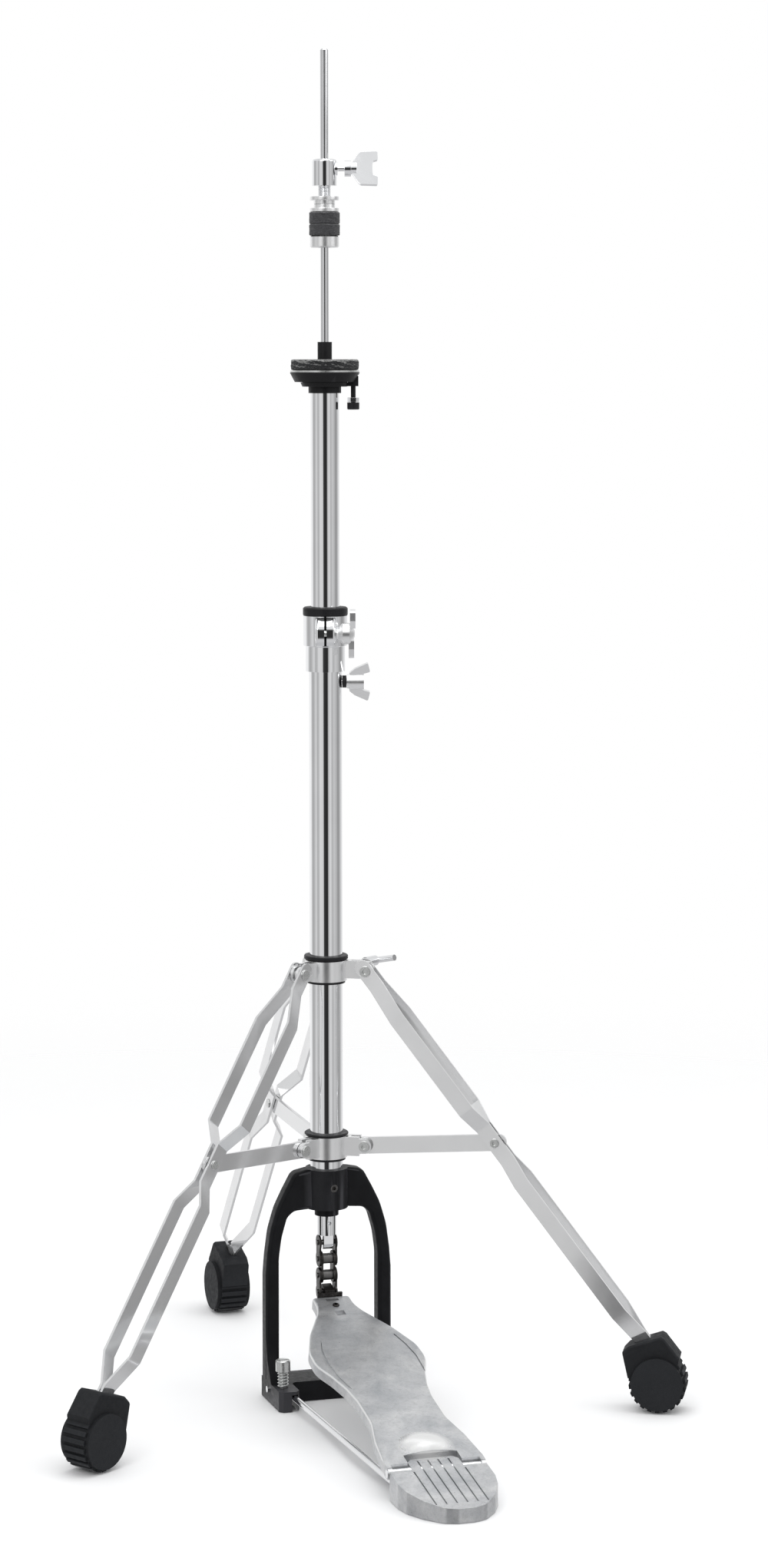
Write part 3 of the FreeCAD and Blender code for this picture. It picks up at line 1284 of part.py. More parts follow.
def heel_grooves():
    """Straight grooves along the sloping top; the outer ones stop at the plate's front edge."""
    count, pitch, width, depth, tall = 6, 7.6, 1.2, 1.6, 12.0
    back, on_tongue, beside_tongue = -323.0, -257.5, -273.0
    tools = []
    for index in range(count):
        middle = (index - (count - 1) / 2) * pitch
        start = on_tongue if abs(middle) < 18 else beside_tongue
        run = (start - back) * math.hypot(1, HEEL_RISE)
        tool = box("heel_groove_%d" % index, (0, 0, 0), (width, run, tall))
        tool.Placement = FreeCAD.Placement(
            FreeCAD.Vector(middle - width / 2, back, heel_level(back) - depth),
            FreeCAD.Rotation(FreeCAD.Vector(1, 0, 0), math.degrees(math.atan(HEEL_RISE))))
        tools.append(tool)
    return tools


def hinge_pin():
    length = 73.6
    pin = rod("hinge_pin", D.hinge_radius, length, (length / -2, -D.hinge_back, D.hinge_level), (1, 0, 0))
    keep(pin, "hinge_pin")


# ---------------------------------------------------------------- the whole stand

def build():
    pull_rod()
    lower_pull_rod()
    clutch_body()
    clutch_sleeve()
    clutch_wing_screw()
    clutch_nuts()
    clutch_felts()
    seat_stack()
    seat_base()
    tilter()
    upper_tube()
    lower_tube()
    height_clamp()
    height_bushing()
    height_bolt()
    height_wing_nut()
    lock_screw()
    leg_collar()
    brace_collar()
    for side in LEG_TURNS:
        leg(side)
        brace(side)
        foot(side)
    pedal_frame()
    tie_rods()
    for side in SIDES:
        spur(side)
    rod_guide()
    return_spring()
    chain_connector()
    chain()
    footboard()
    toe_bracket()
    heel_plate()
    hinge_pin()


def check():
    """Stop unless every object computed and every sub-part is a valid shape."""
    for item in DOC.Objects:
        if "Invalid" in item.State or "Error" in item.State:
            raise RuntimeError("failed: %s %s" % (item.Name, item.State))
    for node in NODES:
        shape = node.Shape
        if shape.isNull() or not shape.isValid() or shape.Volume <= 0:
            raise RuntimeError("bad shape: " + node.Label)


def export():
    os.makedirs("parts", exist_ok=True)
    for node in NODES:
        node.Shape.exportStep("parts/%s.step" % node.Label)
        print("%-24s %3d solids %10.1f mm3" % (node.Label, len(node.Shape.Solids), node.Shape.Volume))


build()
DOC.recompute()
check()
export()
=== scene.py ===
import bpy
import bmesh
import json
import math
import random
from mathutils import Matrix, Vector


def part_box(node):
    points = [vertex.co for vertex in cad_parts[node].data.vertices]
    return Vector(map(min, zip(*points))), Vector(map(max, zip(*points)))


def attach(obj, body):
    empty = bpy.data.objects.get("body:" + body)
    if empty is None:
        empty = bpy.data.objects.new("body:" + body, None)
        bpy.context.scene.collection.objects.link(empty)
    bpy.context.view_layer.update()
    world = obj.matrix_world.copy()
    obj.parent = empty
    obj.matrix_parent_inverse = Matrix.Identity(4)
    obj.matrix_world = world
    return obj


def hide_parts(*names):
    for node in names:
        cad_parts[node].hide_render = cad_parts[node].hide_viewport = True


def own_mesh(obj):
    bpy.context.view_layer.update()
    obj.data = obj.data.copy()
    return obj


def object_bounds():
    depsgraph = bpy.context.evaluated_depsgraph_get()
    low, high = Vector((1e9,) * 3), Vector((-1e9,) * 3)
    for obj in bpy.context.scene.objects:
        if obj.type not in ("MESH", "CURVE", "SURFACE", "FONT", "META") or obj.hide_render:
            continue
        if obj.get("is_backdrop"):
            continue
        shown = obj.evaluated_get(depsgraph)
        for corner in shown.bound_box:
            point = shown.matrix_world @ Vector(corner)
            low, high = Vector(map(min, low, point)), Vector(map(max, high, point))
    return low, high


# Looks for the hi-hat stand. Metres, +Z up, the same frame as the CAD.

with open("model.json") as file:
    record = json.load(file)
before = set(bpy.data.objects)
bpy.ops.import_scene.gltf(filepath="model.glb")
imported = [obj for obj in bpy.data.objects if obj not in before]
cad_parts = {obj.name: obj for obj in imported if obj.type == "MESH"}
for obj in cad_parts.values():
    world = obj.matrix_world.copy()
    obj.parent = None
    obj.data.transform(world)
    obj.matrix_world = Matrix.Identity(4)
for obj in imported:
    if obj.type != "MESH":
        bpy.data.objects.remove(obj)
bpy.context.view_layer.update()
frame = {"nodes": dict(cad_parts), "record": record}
NODES = frame["nodes"]
BODY_OF = {node: body for body, group in frame["record"]["behaviour"]["bodies"].items() for node in group}
SLOT_OF = {part["node"]: part["material_slot"] for part in frame["record"]["subparts"]}

# The camera stands this far round to the left of the pedal's middle line, and the studio turns with it.
VIEW_TURN = math.radians(16.8)
TOWARDS = Vector((-math.sin(VIEW_TURN), -math.cos(VIEW_TURN), 0.0))        # from the stand to the camera
ACROSS = Vector((math.cos(VIEW_TURN), -math.sin(VIEW_TURN), 0.0))          # to the right in the picture


# ---------------------------------------------------------------- shader nodes

class Graph:
    """A node tree with short calls for the nodes that are used again and again."""

    def __init__(self, tree, coordinates):
        self.tree = tree
        self.place = self.add("ShaderNodeTexCoord").outputs[coordinates]

    def add(self, kind):
        return self.tree.nodes.new(kind)

    def link(self, source, target):
        self.tree.links.new(source, target)

    def measure(self, operation, vector=(0, 0, 0)):
        """A number from the coordinates: their length, or their distance to or reach along a vector."""
        node = self.add("ShaderNodeVectorMath")
        node.operation = operation
        self.link(self.place, node.inputs[0])
        node.inputs[1].default_value = vector
        return node.outputs["Value"]

    def stretch(self, scale):
        """The coordinates scaled by different amounts along x, y and z."""
        node = self.add("ShaderNodeMapping")
        node.inputs["Scale"].default_value = scale
        self.link(self.place, node.inputs["Vector"])
        return node.outputs["Vector"]

    def noise(self, scale, detail=3.0, rough=0.55, vector=None, warp=0.0):
        """Cloudy values from 0 to 1: how fine, how many finer layers, how strong those are, how swirled."""
        node = self.add("ShaderNodeTexNoise")
        node.inputs["Scale"].default_value = scale
        node.inputs["Detail"].default_value = detail
        node.inputs["Roughness"].default_value = rough
        node.inputs["Distortion"].default_value = warp
        self.link(vector or self.place, node.inputs["Vector"])
        return node.outputs["Fac"]

    def cells(self, scale):
        node = self.add("ShaderNodeTexVoronoi")
        node.inputs["Scale"].default_value = scale
        self.link(self.place, node.inputs["Vector"])
        return node.outputs["Distance"]

    def ramp(self, source, stops):
        """Colours or greys at given values of the source, blended between them."""
        node = self.add("ShaderNodeValToRGB")
        points = node.color_ramp.elements
        while len(points) < len(stops):
            points.new(0.5)
        for point, (spot, colour) in zip(points, stops):
            point.position = spot
            point.color = (*colour, 1.0) if isinstance(colour, tuple) else (colour, colour, colour, 1.0)
        self.link(source, node.inputs["Fac"])
        return node.outputs["Color"]

    def spread(self, source, low, high, start=0.3, end=0.7, curve="LINEAR"):
        """Goes from low to high as the source goes from start to end, and stays there beyond them."""
        node = self.add("ShaderNodeMapRange")
        node.interpolation_type = curve
        for name, value in (("From Min", start), ("From Max", end), ("To Min", low), ("To Max", high)):
            node.inputs[name].default_value = value
        self.link(source, node.inputs["Value"])
        return node.outputs["Result"]

    def blend(self, factor, first, second, mode="MIX"):
        node = self.add("ShaderNodeMix")
        node.data_type = "RGBA"
        node.blend_type = mode
        if isinstance(factor, float):
            node.inputs[0].default_value = factor
        else:
            self.link(factor, node.inputs[0])
        for socket, value in ((node.inputs[6], first), (node.inputs[7], second)):
            if isinstance(value, tuple):
                socket.default_value = (*value, 1.0)
            else:
                self.link(value, socket)
        return node.outputs[2]


class Shader(Graph):
    """A material with a Principled shader and the nodes that feed it."""

    def __init__(self, name, metallic=0.0, specular=0.5, sheen=0.0):
        self.material = bpy.data.materials.new(name)
        self.material.use_nodes = True
        super().__init__(self.material.node_tree, "Object")
        self.shader = self.tree.nodes["Principled BSDF"]
        self.shader.inputs["Metallic"].default_value = metallic
        self.shader.inputs["Specular IOR Level"].default_value = specular
        self.shader.inputs["Sheen Weight"].default_value = sheen

    def edge_wear(self, low, high):
        """0 to 1 as the surface turns from flat to edge, for wear on edges."""
        node = self.add("ShaderNodeNewGeometry")
        return self.spread(node.outputs["Pointiness"], 0.0, 1.0, low, high)

    def near(self, spot, inner, outer):
        """1 within inner of a point, fading to 0 at outer."""
        return self.spread(self.measure("DISTANCE", spot), 1.0, 0.0, inner, outer)

    def upward(self, roughly, low, high):
        """0 to 1 as the surface turns to face up, with a ragged edge from a noise."""
        split = self.add("ShaderNodeSeparateXYZ")
        self.link(self.add("ShaderNodeNewGeometry").outputs["Normal"], split.inputs[0])
        total = self.add("ShaderNodeMath")
        total.operation = "ADD"
        self.link(split.outputs["Z"], total.inputs[0])
        self.link(roughly, total.inputs[1])
        return self.spread(total.outputs["Value"], 0.0, 1.0, low, high)

    def height(self, source, strength, distance, under=None):
        """Bumps from the source, on top of the bumps under them."""
        node = self.add("ShaderNodeBump")
        node.inputs["Strength"].default_value = strength
        node.inputs["Distance"].default_value = distance
        self.link(source, node.inputs["Height"])
        if under is not None:
            self.link(under, node.inputs["Normal"])
        return node.outputs["Normal"]

    def done(self, colour, rough, normal):
        self.link(colour, self.shader.inputs["Base Color"])
        self.link(rough, self.shader.inputs["Roughness"])
        self.link(normal, self.shader.inputs["Normal"])
        return self.material


# ---------------------------------------------------------------- materials

def plated(name, tone, rough, smudge, grain=(60, 60, 4), scratch=0.03, metallic=1.0):
    """Plated or bright steel: even colour, faint smudges and long polishing lines."""
    s = Shader(name, metallic=metallic)
    dull = tuple(c * 0.965 for c in tone)
    colour = s.ramp(s.noise(38, 4, 0.6), [(0.35, dull), (0.65, tone)])
    marks = s.noise(26, 5, 0.65, warp=0.4)
    finish = s.spread(marks, rough, rough + smudge, 0.42, 0.75)
    lines = s.noise(90, 4, 0.6, s.stretch(grain))
    waves = s.height(s.noise(55, 2, 0.5), 0.05, 0.0002)
    return s.done(colour, finish, s.height(lines, scratch, 0.00004, waves))


def zinc_plate(name, tone, rough):
    """Bright zinc: grainy, slightly cloudy, duller than chrome."""
    s = Shader(name, metallic=1.0)
    dull = tuple(c * 0.80 for c in tone)
    colour = s.ramp(s.noise(420, 5, 0.6), [(0.3, dull), (0.7, tone)])
    finish = s.spread(s.noise(900, 3, 0.6), rough, rough + 0.16)
    return s.done(colour, finish, s.height(s.noise(2400, 4, 0.6), 0.18, 0.00012))


DOME = (0.0, -0.2415, 0.0271)        # middle of the footboard's polished swelling
DOME_POLISH_AND_HIGHLIGHT = (0.0135, 0.0215)       # the polish and its painted highlight are full within the first distance and end at the second


def cast_aluminium(name):
    """Tumbled casting: soft grey clouds and mottling, fine stippling, a painted highlight on sloped faces
    and a polished dome with a painted highlight.
    """
    s = Shader(name, metallic=0.74)
    dull, fair, pale = (0.42, 0.435, 0.455), (0.56, 0.568, 0.58), (0.70, 0.702, 0.702)
    cloud = s.ramp(s.noise(34, 6, 0.62, warp=0.6), [(0.28, dull), (0.5, fair), (0.72, pale)])
    mottle = s.ramp(s.noise(310, 5, 0.7, warp=0.8), [(0.34, 0.80), (0.5, 0.96), (0.66, 1.0)])
    speck = s.ramp(s.noise(1500, 3, 0.7), [(0.35, 0.82), (0.62, 1.0)])
    colour = s.blend(0.55, s.blend(0.8, cloud, mottle, "MULTIPLY"), speck, "MULTIPLY")
    # Faces that slope between level and upright are painted lighter: a painted highlight along bevels and
    # rims.
    slope = s.upward(s.spread(s.noise(90, 3, 0.5), 0.0, 0.04), 0.0, 1.0)
    painted_slope_highlight = s.ramp(slope, [(0.15, 0.0), (0.4, 0.85), (0.78, 0.85), (0.9, 0.0)])
    colour = s.blend(painted_slope_highlight, colour, (0.86, 0.86, 0.855))
    # The dome is polished for real (lower roughness below), and its colour is lightened there as a painted
    # highlight.
    polish_and_highlight = s.near(DOME, *DOME_POLISH_AND_HIGHLIGHT)
    colour = s.blend(polish_and_highlight, colour, (0.84, 0.84, 0.835))
    satin = s.spread(s.noise(160, 5, 0.6), 0.27, 0.42)
    rough = s.blend(polish_and_highlight, satin, (0.15, 0.15, 0.15))
    stipple = s.height(s.noise(2100, 4, 0.65), 0.22, 0.00016)
    return s.done(colour, rough, s.height(s.noise(70, 3, 0.5), 0.12, 0.0009, stipple))


def powder_coat(name):
    """Black powder coat: orange-peel surface, faint grey on rubbed edges."""
    s = Shader(name, specular=0.15)
    base = s.ramp(s.noise(60, 4, 0.6), [(0.3, (0.004, 0.004, 0.005)), (0.7, (0.009, 0.0095, 0.011))])
    colour = s.blend(s.edge_wear(0.53, 0.60), base, (0.045, 0.045, 0.05))
    rough = s.spread(s.noise(300, 4, 0.6), 0.34, 0.5)
    return s.done(colour, rough, s.height(s.noise(850, 2, 0.5), 0.25, 0.0003))


def moulded(name, tone, low, high, grain, depth):
    """Moulded plastic or rubber: slight bloom, roughness from low to high, texture of a grain and depth."""
    s = Shader(name, specular=0.22)
    shade, pale = tuple(c * 0.75 for c in tone), tuple(min(1.0, c * 1.9) for c in tone)
    base = s.ramp(s.noise(75, 5, 0.6, warp=0.3), [(0.3, shade), (0.7, tone)])
    colour = s.blend(s.edge_wear(0.52, 0.60), base, pale)
    rough = s.spread(s.noise(260, 4, 0.6), low, high)
    coarse = s.height(s.noise(grain * 0.6, 3, 0.6), 0.2, depth)
    return s.done(colour, rough, s.height(s.cells(grain), 0.25, depth, coarse))


def oiled_steel(name):
    """Dark chain steel: black oxide with brown and bare-metal patches."""
    s = Shader(name, metallic=0.9)
    black, brown, bare = (0.018, 0.016, 0.015), (0.048, 0.045, 0.043), (0.10, 0.096, 0.092)
    base = s.ramp(s.noise(260, 5, 0.65, warp=0.5), [(0.3, black), (0.55, brown), (0.75, bare)])
    colour = s.blend(s.edge_wear(0.57, 0.68), base, (0.24, 0.235, 0.23))
    rough = s.spread(s.noise(700, 4, 0.6), 0.26, 0.48)
    return s.done(colour, rough, s.height(s.noise(1800, 3, 0.6), 0.2, 0.0001))


def felt(name, light, painted_top_tone, long_ways):
    """Pressed felt: matted fibres and tufts, with faces that point up painted lighter as painted top light.
    """
    s = Shader(name, specular=0.12, sheen=0.2)
    dark = (0.006, 0.006, 0.0075)
    fibre = s.noise(900, 6, 0.7, s.stretch(long_ways), warp=1.6)
    tuft = s.noise(240, 5, 0.7, warp=1.0)
    middle = tuple((a + b) / 2 for a, b in zip(dark, light))
    base = s.ramp(fibre, [(0.3, dark), (0.52, middle), (0.72, light)])
    # Painted top light: faces that point up take the lighter top tone, standing in for the light falling on
    # the felt's top.
    painted_top_light = s.upward(s.noise(110, 5, 0.7, warp=1.5), 0.72, 1.0)
    base = s.blend(painted_top_light, base, s.ramp(fibre, [(0.3, light), (0.7, painted_top_tone)]))
    colour = s.blend(0.6, base, s.ramp(tuft, [(0.3, 0.5), (0.7, 1.0)]), "MULTIPLY")
    rough = s.spread(tuft, 0.88, 1.0)
    return s.done(colour, rough, s.height(fibre, 0.8, 0.0006, s.height(tuft, 0.6, 0.0008)))


# By the record's material slots.
LOOKS = {
    "chrome": plated("chrome", (0.90, 0.905, 0.915), rough=0.02, smudge=0.05),
    "rod_steel": plated("rod_steel", (0.80, 0.805, 0.815), 0.10, 0.10, grain=(90, 90, 3), scratch=0.06),
    "zinc": zinc_plate("zinc", (0.74, 0.75, 0.74), rough=0.22),
    "cast_aluminium": cast_aluminium("cast_aluminium"),
    "black_casting": powder_coat("black_casting"),
    "black_plastic": moulded(
        "black_plastic", (0.008, 0.008, 0.009), low=0.34, high=0.52, grain=1700, depth=0.00006,
    ),
    "rubber": moulded("rubber", (0.013, 0.014, 0.016), low=0.52, high=0.78, grain=1200, depth=0.00012),
    "dark_steel": oiled_steel("dark_steel"),
    "spring_steel": zinc_plate("spring_steel", (0.52, 0.52, 0.53), rough=0.24),
    # In each felt, the lighter tone for upward faces is painted top light.
    "dark_felt": felt(
        "dark_felt", light=(0.15, 0.15, 0.157), painted_top_tone=(0.18, 0.18, 0.185), long_ways=(0.5, 0.5, 2.2),
    ),
    "grey_felt": felt(
        "grey_felt", light=(0.062, 0.064, 0.067), painted_top_tone=(0.56, 0.56, 0.55), long_ways=(0.7, 0.7, 2.4),
    ),
}
PRESSED = plated("pressed_steel", (0.80, 0.802, 0.806), 0.08, 0.10, (70, 70, 5), 0.07, metallic=0.86)
SATIN = plated("satin_plate", (0.93, 0.932, 0.934), 0.28, 0.10, (60, 60, 8), 0.08)
SATIN_NODES = (
    "clutch_bottom_nut", "clutch_lock_nuts", "height_wing_nut", "lock_wing_screw",
    "leg_collar", "brace_collar",
)


def look_of(node):
    """Strips and braces are bent from bright sheet; collars and some nuts are duller than the tubes."""
    if node.endswith(("_leg_strips", "_brace")):
        return PRESSED
    return SATIN if node in SATIN_NODES else LOOKS[SLOT_OF[node]]


# ---------------------------------------------------------------- pieces

def paint(obj, node):
    """Gives an object the look and the material slot of a CAD node."""
    obj.data.materials.clear()
    obj.data.materials.append(look_of(node))


def placed(name, data):
    """A new object in the scene."""
    obj = bpy.data.objects.new(name, data)
    bpy.context.scene.collection.objects.link(obj)
    return obj


def stand_for(obj, node):
    """Lets an object take the place of a CAD node, with its look and on its body."""
    paint(obj, node)
    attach(obj, BODY_OF[node])
    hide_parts(node)


WELD = 2e-6               # metres: closer points become one
FLAT = 0.6                # degrees: faces that turn less than this become one
BEVELLED = 34.0           # degrees: sharper edges are rounded
CRISP = 44.0              # degrees: edges still sharper than this stay crisp in the shading


def join_flat_faces(obj):
    """Drops the CAD mesh's own normals and joins the triangles of its flat faces."""
    mesh = obj.data
    if mesh.has_custom_normals:
        bpy.context.view_layer.objects.active = obj
        with bpy.context.temp_override(object=obj, active_object=obj, selected_objects=[obj]):
            bpy.ops.mesh.customdata_custom_splitnormals_clear()
    bm = bmesh.new()
    bm.from_mesh(mesh)
    bmesh.ops.remove_doubles(bm, verts=bm.verts, dist=WELD)
    bmesh.ops.dissolve_limit(bm, angle_limit=math.radians(FLAT), verts=bm.verts, edges=bm.edges)
    for edge in bm.edges:
        edge.smooth = True
    for face in bm.faces:
        face.smooth = True
    bm.to_mesh(mesh)
    bm.free()


def smooth(mesh):
    """Shades a mesh smooth, apart from its crisp edges."""
    mesh.shade_smooth()
    limit = math.radians(CRISP)
    bm = bmesh.new()
    bm.from_mesh(mesh)
    for edge in bm.edges:
        edge.smooth = len(edge.link_faces) == 2 and edge.calc_face_angle(0.0) < limit
    bm.to_mesh(mesh)
    bm.free()


def settle(obj):
    """Applies the object's modifiers and returns its new mesh."""
    shape = bpy.data.meshes.new_from_object(obj.evaluated_get(bpy.context.evaluated_depsgraph_get()))
    obj.modifiers.clear()
    obj.data = shape
    return shape


def soften(node, width):
    """A copy of a CAD node with its sharp edges rounded, standing for that node."""
    mesh = NODES[node].data.copy()
    mesh.name = node + "_rounded"
    obj = placed(node + "_rounded", mesh)
    join_flat_faces(obj)
    bevel = obj.modifiers.new("edges", "BEVEL")
    bevel.width = width
    bevel.segments = 2
    bevel.limit_method = "ANGLE"
    bevel.angle_limit = math.radians(BEVELLED)
    bevel.use_clamp_overlap = True
    smooth(settle(obj))
    level = obj.modifiers.new("faces", "WEIGHTED_NORMAL")
    level.keep_sharp = True
    level.weight = 100
    settle(obj)
    stand_for(obj, node)


def springy(node):
    """A copy of a CAD spring, standing for that node with a mesh of its own."""
    obj = placed(node + "_coil", NODES[node].data.copy())
    stand_for(obj, node)
    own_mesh(obj)


for node, obj in NODES.items():
    paint(obj, node)

# The nodes whose edges are rounded, and by how many metres.
ROUNDED = {
    "height_clamp": 0.0007, "height_wing_nut": 0.0006, "lock_wing_screw": 0.0006,
    "clutch_wing_screw": 0.0006, "clutch_body": 0.0004, "clutch_lock_nuts": 0.0003,
    "leg_collar": 0.0004, "brace_collar": 0.0004,
    "collar_t_screw": 0.0007, "seat_base": 0.0004, "seat_cup": 0.0003, "tilter_nut": 0.0003,
    "chain_plates": 0.00022, "chain_connector": 0.0004, "toe_bracket": 0.0004, "pedal_frame": 0.0009,
    "footboard": 0.0005, "heel_plate": 0.0008, "height_clamp_bolt": 0.0004,
}
for side in ("right", "left", "rear"):
    ROUNDED[side + "_leg_strips"] = 0.0005
    ROUNDED[side + "_brace"] = 0.0005
    ROUNDED[side + "_leg_rivets"] = 0.0004
    ROUNDED[side + "_foot"] = 0.0006
for node in ("brace_collar_rivets", "left_spur", "right_spur"):
    ROUNDED[node] = 0.0004

for node, width in ROUNDED.items():
    soften(node, width)

springy("return_spring")
springy("left_spur_spring")
springy("right_spur_spring")


# ---------------------------------------------------------------- felts

TOP_FRAY = 0.25           # how much the top of a felt frays; its underside and bore don't
SIDE_FRAY = 0.8           # how much the side frays
BEND = 5                  # steps round a rounded corner
FIBRE_DEPTH = 0.25        # the fibres lie this share of the fraying inside the outline
FIBRE_LENGTH = (0.0012, 0.0035)
FIBRE_HALF = 0.00007      # half the width of a fibre
FIBRE_BOW = 0.0002        # how far the ends of a fibre sink in
FIBRE_LEAN = 0.9          # radians: the most a fibre leans out of level
FIBRE_START = 0.0008      # a fibre starts at least this far from the top and underside,
FIBRE_MARGIN = 0.0003     # and its middle line stays at least this far from them
WAVES = 7                 # waves that make up the side's bulges
WAVE_CLIMB = 900          # radians per metre that the strongest waves turn by up the side
GRIT = 0.35               # single points fray by up to this much more, at random
SAG = 0.4                 # the bottom of the side rises by this share of what its top sinks


def ring_profile(inner, outer, low, high, corner, up, across):
    """The felt's section as (radius, level, how much it frays) points, from the top inside edge round."""
    points = []
    for i in range(across + 1):
        points.append((inner + (outer - corner - inner) * i / across, high, TOP_FRAY))
    turns = [math.pi * i / (2 * BEND) for i in range(1, BEND)]
    bend = [(corner * math.sin(turn), corner * math.cos(turn)) for turn in turns]
    for out, rise in bend:
        points.append((outer - corner + out, high - corner + rise, SIDE_FRAY))
    for i in range(up + 1):
        points.append((outer, high - corner - (high - low - 2 * corner) * i / up, SIDE_FRAY))
    for out, rise in reversed(bend):
        points.append((outer - corner + out, low + corner - rise, SIDE_FRAY))
    for i in range(across + 1):
        points.append((outer - corner - (outer - corner - inner) * i / across, low, 0.0))
    for i in range(1, up):
        points.append((inner, low + (high - low) * i / up, 0.0))
    return points


def add_fibre(bm, rng, radius, low, high):
    """A loose fibre lying on the felt's side: a thin closed sliver bent at its middle."""
    angle = rng.uniform(0, 2 * math.pi)
    level = rng.uniform(low + FIBRE_START, high - FIBRE_START)
    length = rng.uniform(*FIBRE_LENGTH)
    lean = rng.uniform(-FIBRE_LEAN, FIBRE_LEAN)
    sections = []
    for step in range(3):
        run = step / 2 * length
        a = angle + run * math.cos(lean) / radius
        r = radius - abs(step - 1) * FIBRE_BOW
        z = min(max(level + run * math.sin(lean), low + FIBRE_MARGIN), high - FIBRE_MARGIN)
        corners = [(r, z - FIBRE_HALF), (r, z + FIBRE_HALF), (r - 2 * FIBRE_HALF, z)]
        sections.append([bm.verts.new((q * math.cos(a), q * math.sin(a), h)) for q, h in corners])
    for first, second in zip(sections, sections[1:]):
        for i in range(3):
            bm.faces.new((first[i], first[i - 1], second[i - 1], second[i]))
    bm.faces.new(sections[0])
    bm.faces.new(reversed(sections[-1]))


def fuzzy_rings(name, node, inner, outer, levels, corner, seed, around, up, across, rag, fibres):
    """Felt rings with rounded corners that bulge and fray inside their CAD size, with loose fibres.

    levels holds the underside and top of each ring. around, up and across are the points in the round, up
    the side and over the top, rag is about the most it frays and fibres the number of them on each ring."""
    rng = random.Random(seed)
    mesh = bpy.data.meshes.new(name)
    bm = bmesh.new()
    waves = []        # the phase, the number round the ring and the strength of each
    for _ in range(WAVES):
        waves.append((rng.uniform(0, 6.28), rng.choice((2, 3, 5, 7, 11)), rng.uniform(0.2, 1.0)))

    def ragged(angle, level):
        climb = level * WAVE_CLIMB
        parts = [math.sin(angle * n + phase + climb * share) * share for phase, n, share in waves]
        return sum(parts) / len(parts)

    for low, high in levels:
        profile = ring_profile(inner, outer, low, high, corner, up, across)
        loops = []
        for k in range(around):
            angle = 2 * math.pi * k / around
            loop = []
            for radius, level, fray in profile:
                grain = (abs(ragged(angle, level)) + rng.random() * GRIT) * rag * fray
                flat = level in (low, high)
                share = (level - low) / (high - low)
                r = radius if flat else radius - grain
                z = level - grain * (share if flat else (1 + SAG) * share - SAG)
                loop.append(bm.verts.new((r * math.cos(angle), r * math.sin(angle), z)))
            loops.append(loop)
        size = len(profile)
        for k in range(around):
            near, far = loops[k], loops[(k + 1) % around]
            for i in range(size):
                j = (i + 1) % size
                bm.faces.new((near[i], far[i], far[j], near[j]))
        for _ in range(fibres):
            add_fibre(bm, rng, outer - rag * FIBRE_DEPTH, low, high)
    bmesh.ops.recalc_face_normals(bm, faces=bm.faces)
    bm.to_mesh(mesh)
    bm.free()
    mesh.shade_smooth()
    obj = placed(name, mesh)
    stand_for(obj, node)


SEAM = 0.488              # where the two clutch felts meet, as a share of their height together
SEAM_GAP = 0.0002         # metres between them

low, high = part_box("seat_felt")
fuzzy_rings(
    "seat_felt_pad", "seat_felt", inner=0.0062, outer=high.x, levels=[(low.z, high.z)],
    corner=0.0019, seed=3, around=220, up=12, across=22, rag=0.0021, fibres=900,
)
low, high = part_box("clutch_felts")
seam = low.z + (high.z - low.z) * SEAM
fuzzy_rings(
    "clutch_felt_pads", "clutch_felts", inner=0.0053, outer=high.x,
    levels=[(low.z, seam), (seam + SEAM_GAP, high.z)],
    corner=0.0008, seed=5, around=140, up=12, across=8, rag=0.0008, fibres=260,
)


# ---------------------------------------------------------------- stage, light and camera

FLOOR_RADIUS = 6.0
FLOOR_DROP = 0.0006            # metres under the feet, so that they don't share a face with the floor
FLOOR_FADE = (0.6, 1.8)        # the floor fades away between these distances from the middle


def floor():
    """A pale floor that fades into the background far from the object."""
    mesh = bpy.data.meshes.new("floor")
    bm = bmesh.new()
    bmesh.ops.create_circle(bm, cap_ends=True, radius=FLOOR_RADIUS, segments=96)
    bm.to_mesh(mesh)
    bm.free()
    obj = placed("floor", mesh)
    obj.location.z = -FLOOR_DROP
    s = Shader("floor", specular=0.2)
    s.shader.inputs["Roughness"].default_value = 0.6
    tone = s.ramp(s.noise(6.0, 4.0, 0.5), [(0.0, (0.945, 0.945, 0.95)), (1.0, (0.97, 0.97, 0.97))])
    s.link(tone, s.shader.inputs["Base Color"])
    fade = s.spread(s.measure("LENGTH"), 0.0, 1.0, *FLOOR_FADE, "SMOOTHSTEP")
    mix = s.add("ShaderNodeMixShader")
    s.link(fade, mix.inputs["Fac"])
    s.link(s.shader.outputs["BSDF"], mix.inputs[1])
    s.link(s.add("ShaderNodeBsdfTransparent").outputs["BSDF"], mix.inputs[2])
    s.link(mix.outputs["Shader"], s.tree.nodes["Material Output"].inputs["Surface"])
    obj.data.materials.append(s.material)
    obj.visible_glossy = False
    obj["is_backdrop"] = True


GAP = 14.0          # degrees either side of the camera where the walls are dark

# Brightness of the studio's walls by degrees round from the camera.
WALLS = [
    (-180, 0.90), (-140, 0.96), (-122, 0.90), (-112, 0.52), (-96, 0.42), (-70, 0.72), (-60, 0.46),
    (-50, 0.52), (-40, 0.74), (-GAP - 3, 0.66), (-GAP + 1, 0.06), (-4, 0.03), (4, 0.03),
    (GAP - 4, 0.02), (GAP, 0.05), (GAP + 7, 0.58), (34, 0.74), (48, 0.46), (60, 0.62), (80, 0.50),
    (96, 0.30), (112, 0.42), (128, 0.70), (160, 0.88), (180, 0.90),
]
COOL = 1.005        # how much more blue than red or green there is in the walls


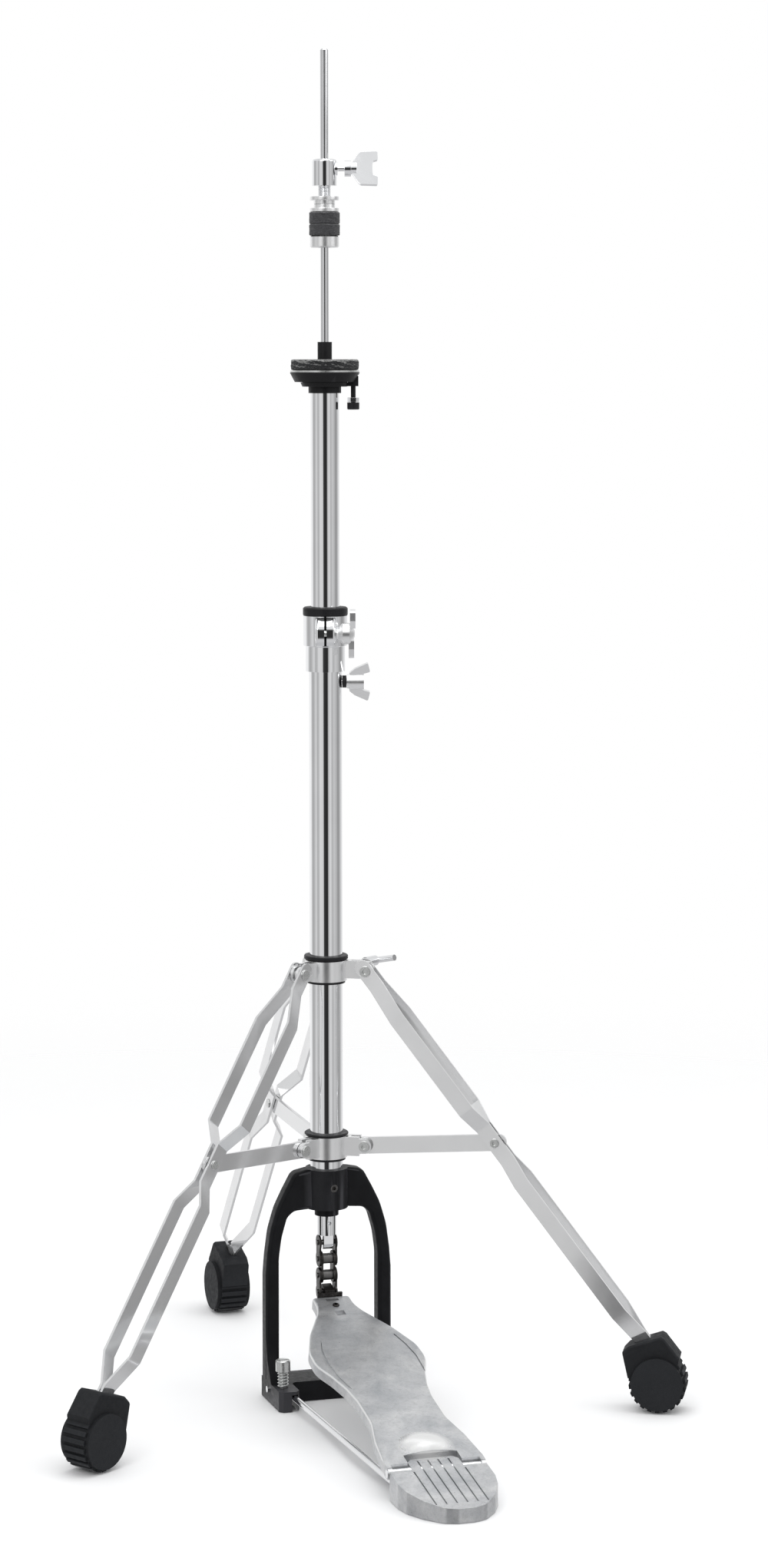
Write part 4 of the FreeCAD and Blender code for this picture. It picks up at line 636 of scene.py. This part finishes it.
def studio():
    """Bright room with a dark gap round the camera, pale above the walls and greyer right overhead and
    underfoot. The camera sees plain white behind the object."""
    world = bpy.data.worlds.new("studio")
    bpy.context.scene.world = world
    world.use_nodes = True
    world.node_tree.nodes.clear()
    g = Graph(world.node_tree, "Generated")
    turn = g.add("ShaderNodeMath")
    turn.operation = "ARCTAN2"
    g.link(g.measure("DOT_PRODUCT", ACROSS), turn.inputs[0])
    g.link(g.measure("DOT_PRODUCT", TOWARDS), turn.inputs[1])
    share = g.spread(turn.outputs["Value"], 0.0, 1.0, -math.pi, math.pi)
    room = g.ramp(share, [((angle + 180) / 360, (tone, tone, tone * COOL)) for angle, tone in WALLS])
    level = g.measure("DOT_PRODUCT", (0, 0, 1))

    def above(start, end):
        return g.spread(level, 0.0, 1.0, start, end, "SMOOTHSTEP")

    room = g.blend(above(-0.55, -0.30), (0.60, 0.60, 0.61), room)
    room = g.blend(above(0.16, 0.44), room, (0.84, 0.845, 0.85))
    room = g.blend(above(0.50, 0.90), room, (0.62, 0.625, 0.63))
    room = g.blend(g.add("ShaderNodeLightPath").outputs["Is Camera Ray"], room, (1.0, 1.0, 1.0))
    back = g.add("ShaderNodeBackground")
    g.link(room, back.inputs["Color"])
    g.link(back.outputs["Background"], g.add("ShaderNodeOutputWorld").inputs["Surface"])


def softbox(name, spot, aim, side, power):
    """A square area light, facing its aim and not seen by the camera itself."""
    data = bpy.data.lights.new(name, "AREA")
    data.shape = "RECTANGLE"
    data.size = side
    data.size_y = side
    data.energy = power
    obj = placed(name, data)
    obj.location = spot
    obj.rotation_euler = (Vector(aim) - Vector(spot)).to_track_quat("-Z", "Y").to_euler()
    obj.visible_camera = False


def camera():
    """Level camera in front and a little to the left, its view set low and to one side."""
    distance, level = 2.818, 0.8012        # metres from the stand's axis and above the floor
    roll = math.radians(-0.126)
    data = bpy.data.cameras.new("camera")
    obj = placed("camera", data)
    data.sensor_width = 36.0
    data.sensor_fit = "AUTO"
    data.lens = 83.54
    data.shift_x = 0.0378
    data.shift_y = -0.2723
    data.clip_start = 0.05
    data.clip_end = 60
    place = Matrix.Translation(TOWARDS * distance + Vector((0, 0, level)))
    aim = (-TOWARDS).to_track_quat("-Z", "Y").to_matrix().to_4x4()
    obj.matrix_world = place @ aim @ Matrix.Rotation(roll, 4, "Z")
    bpy.context.scene.camera = obj


floor()
studio()
softbox("key", spot=(-1.6, -2.0, 2.4), aim=(0, -0.1, 0.4), side=1.8, power=22)
softbox("fill", spot=(2.2, -1.4, 2.0), aim=(0, 0, 0.5), side=1.8, power=12)
softbox("top", spot=(0.2, -0.2, 3.0), aim=(0, 0, 0), side=2.6, power=34)
camera()
bpy.context.scene.view_settings.view_transform = "Standard"
bpy.context.scene.view_settings.look = "None"

low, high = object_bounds()
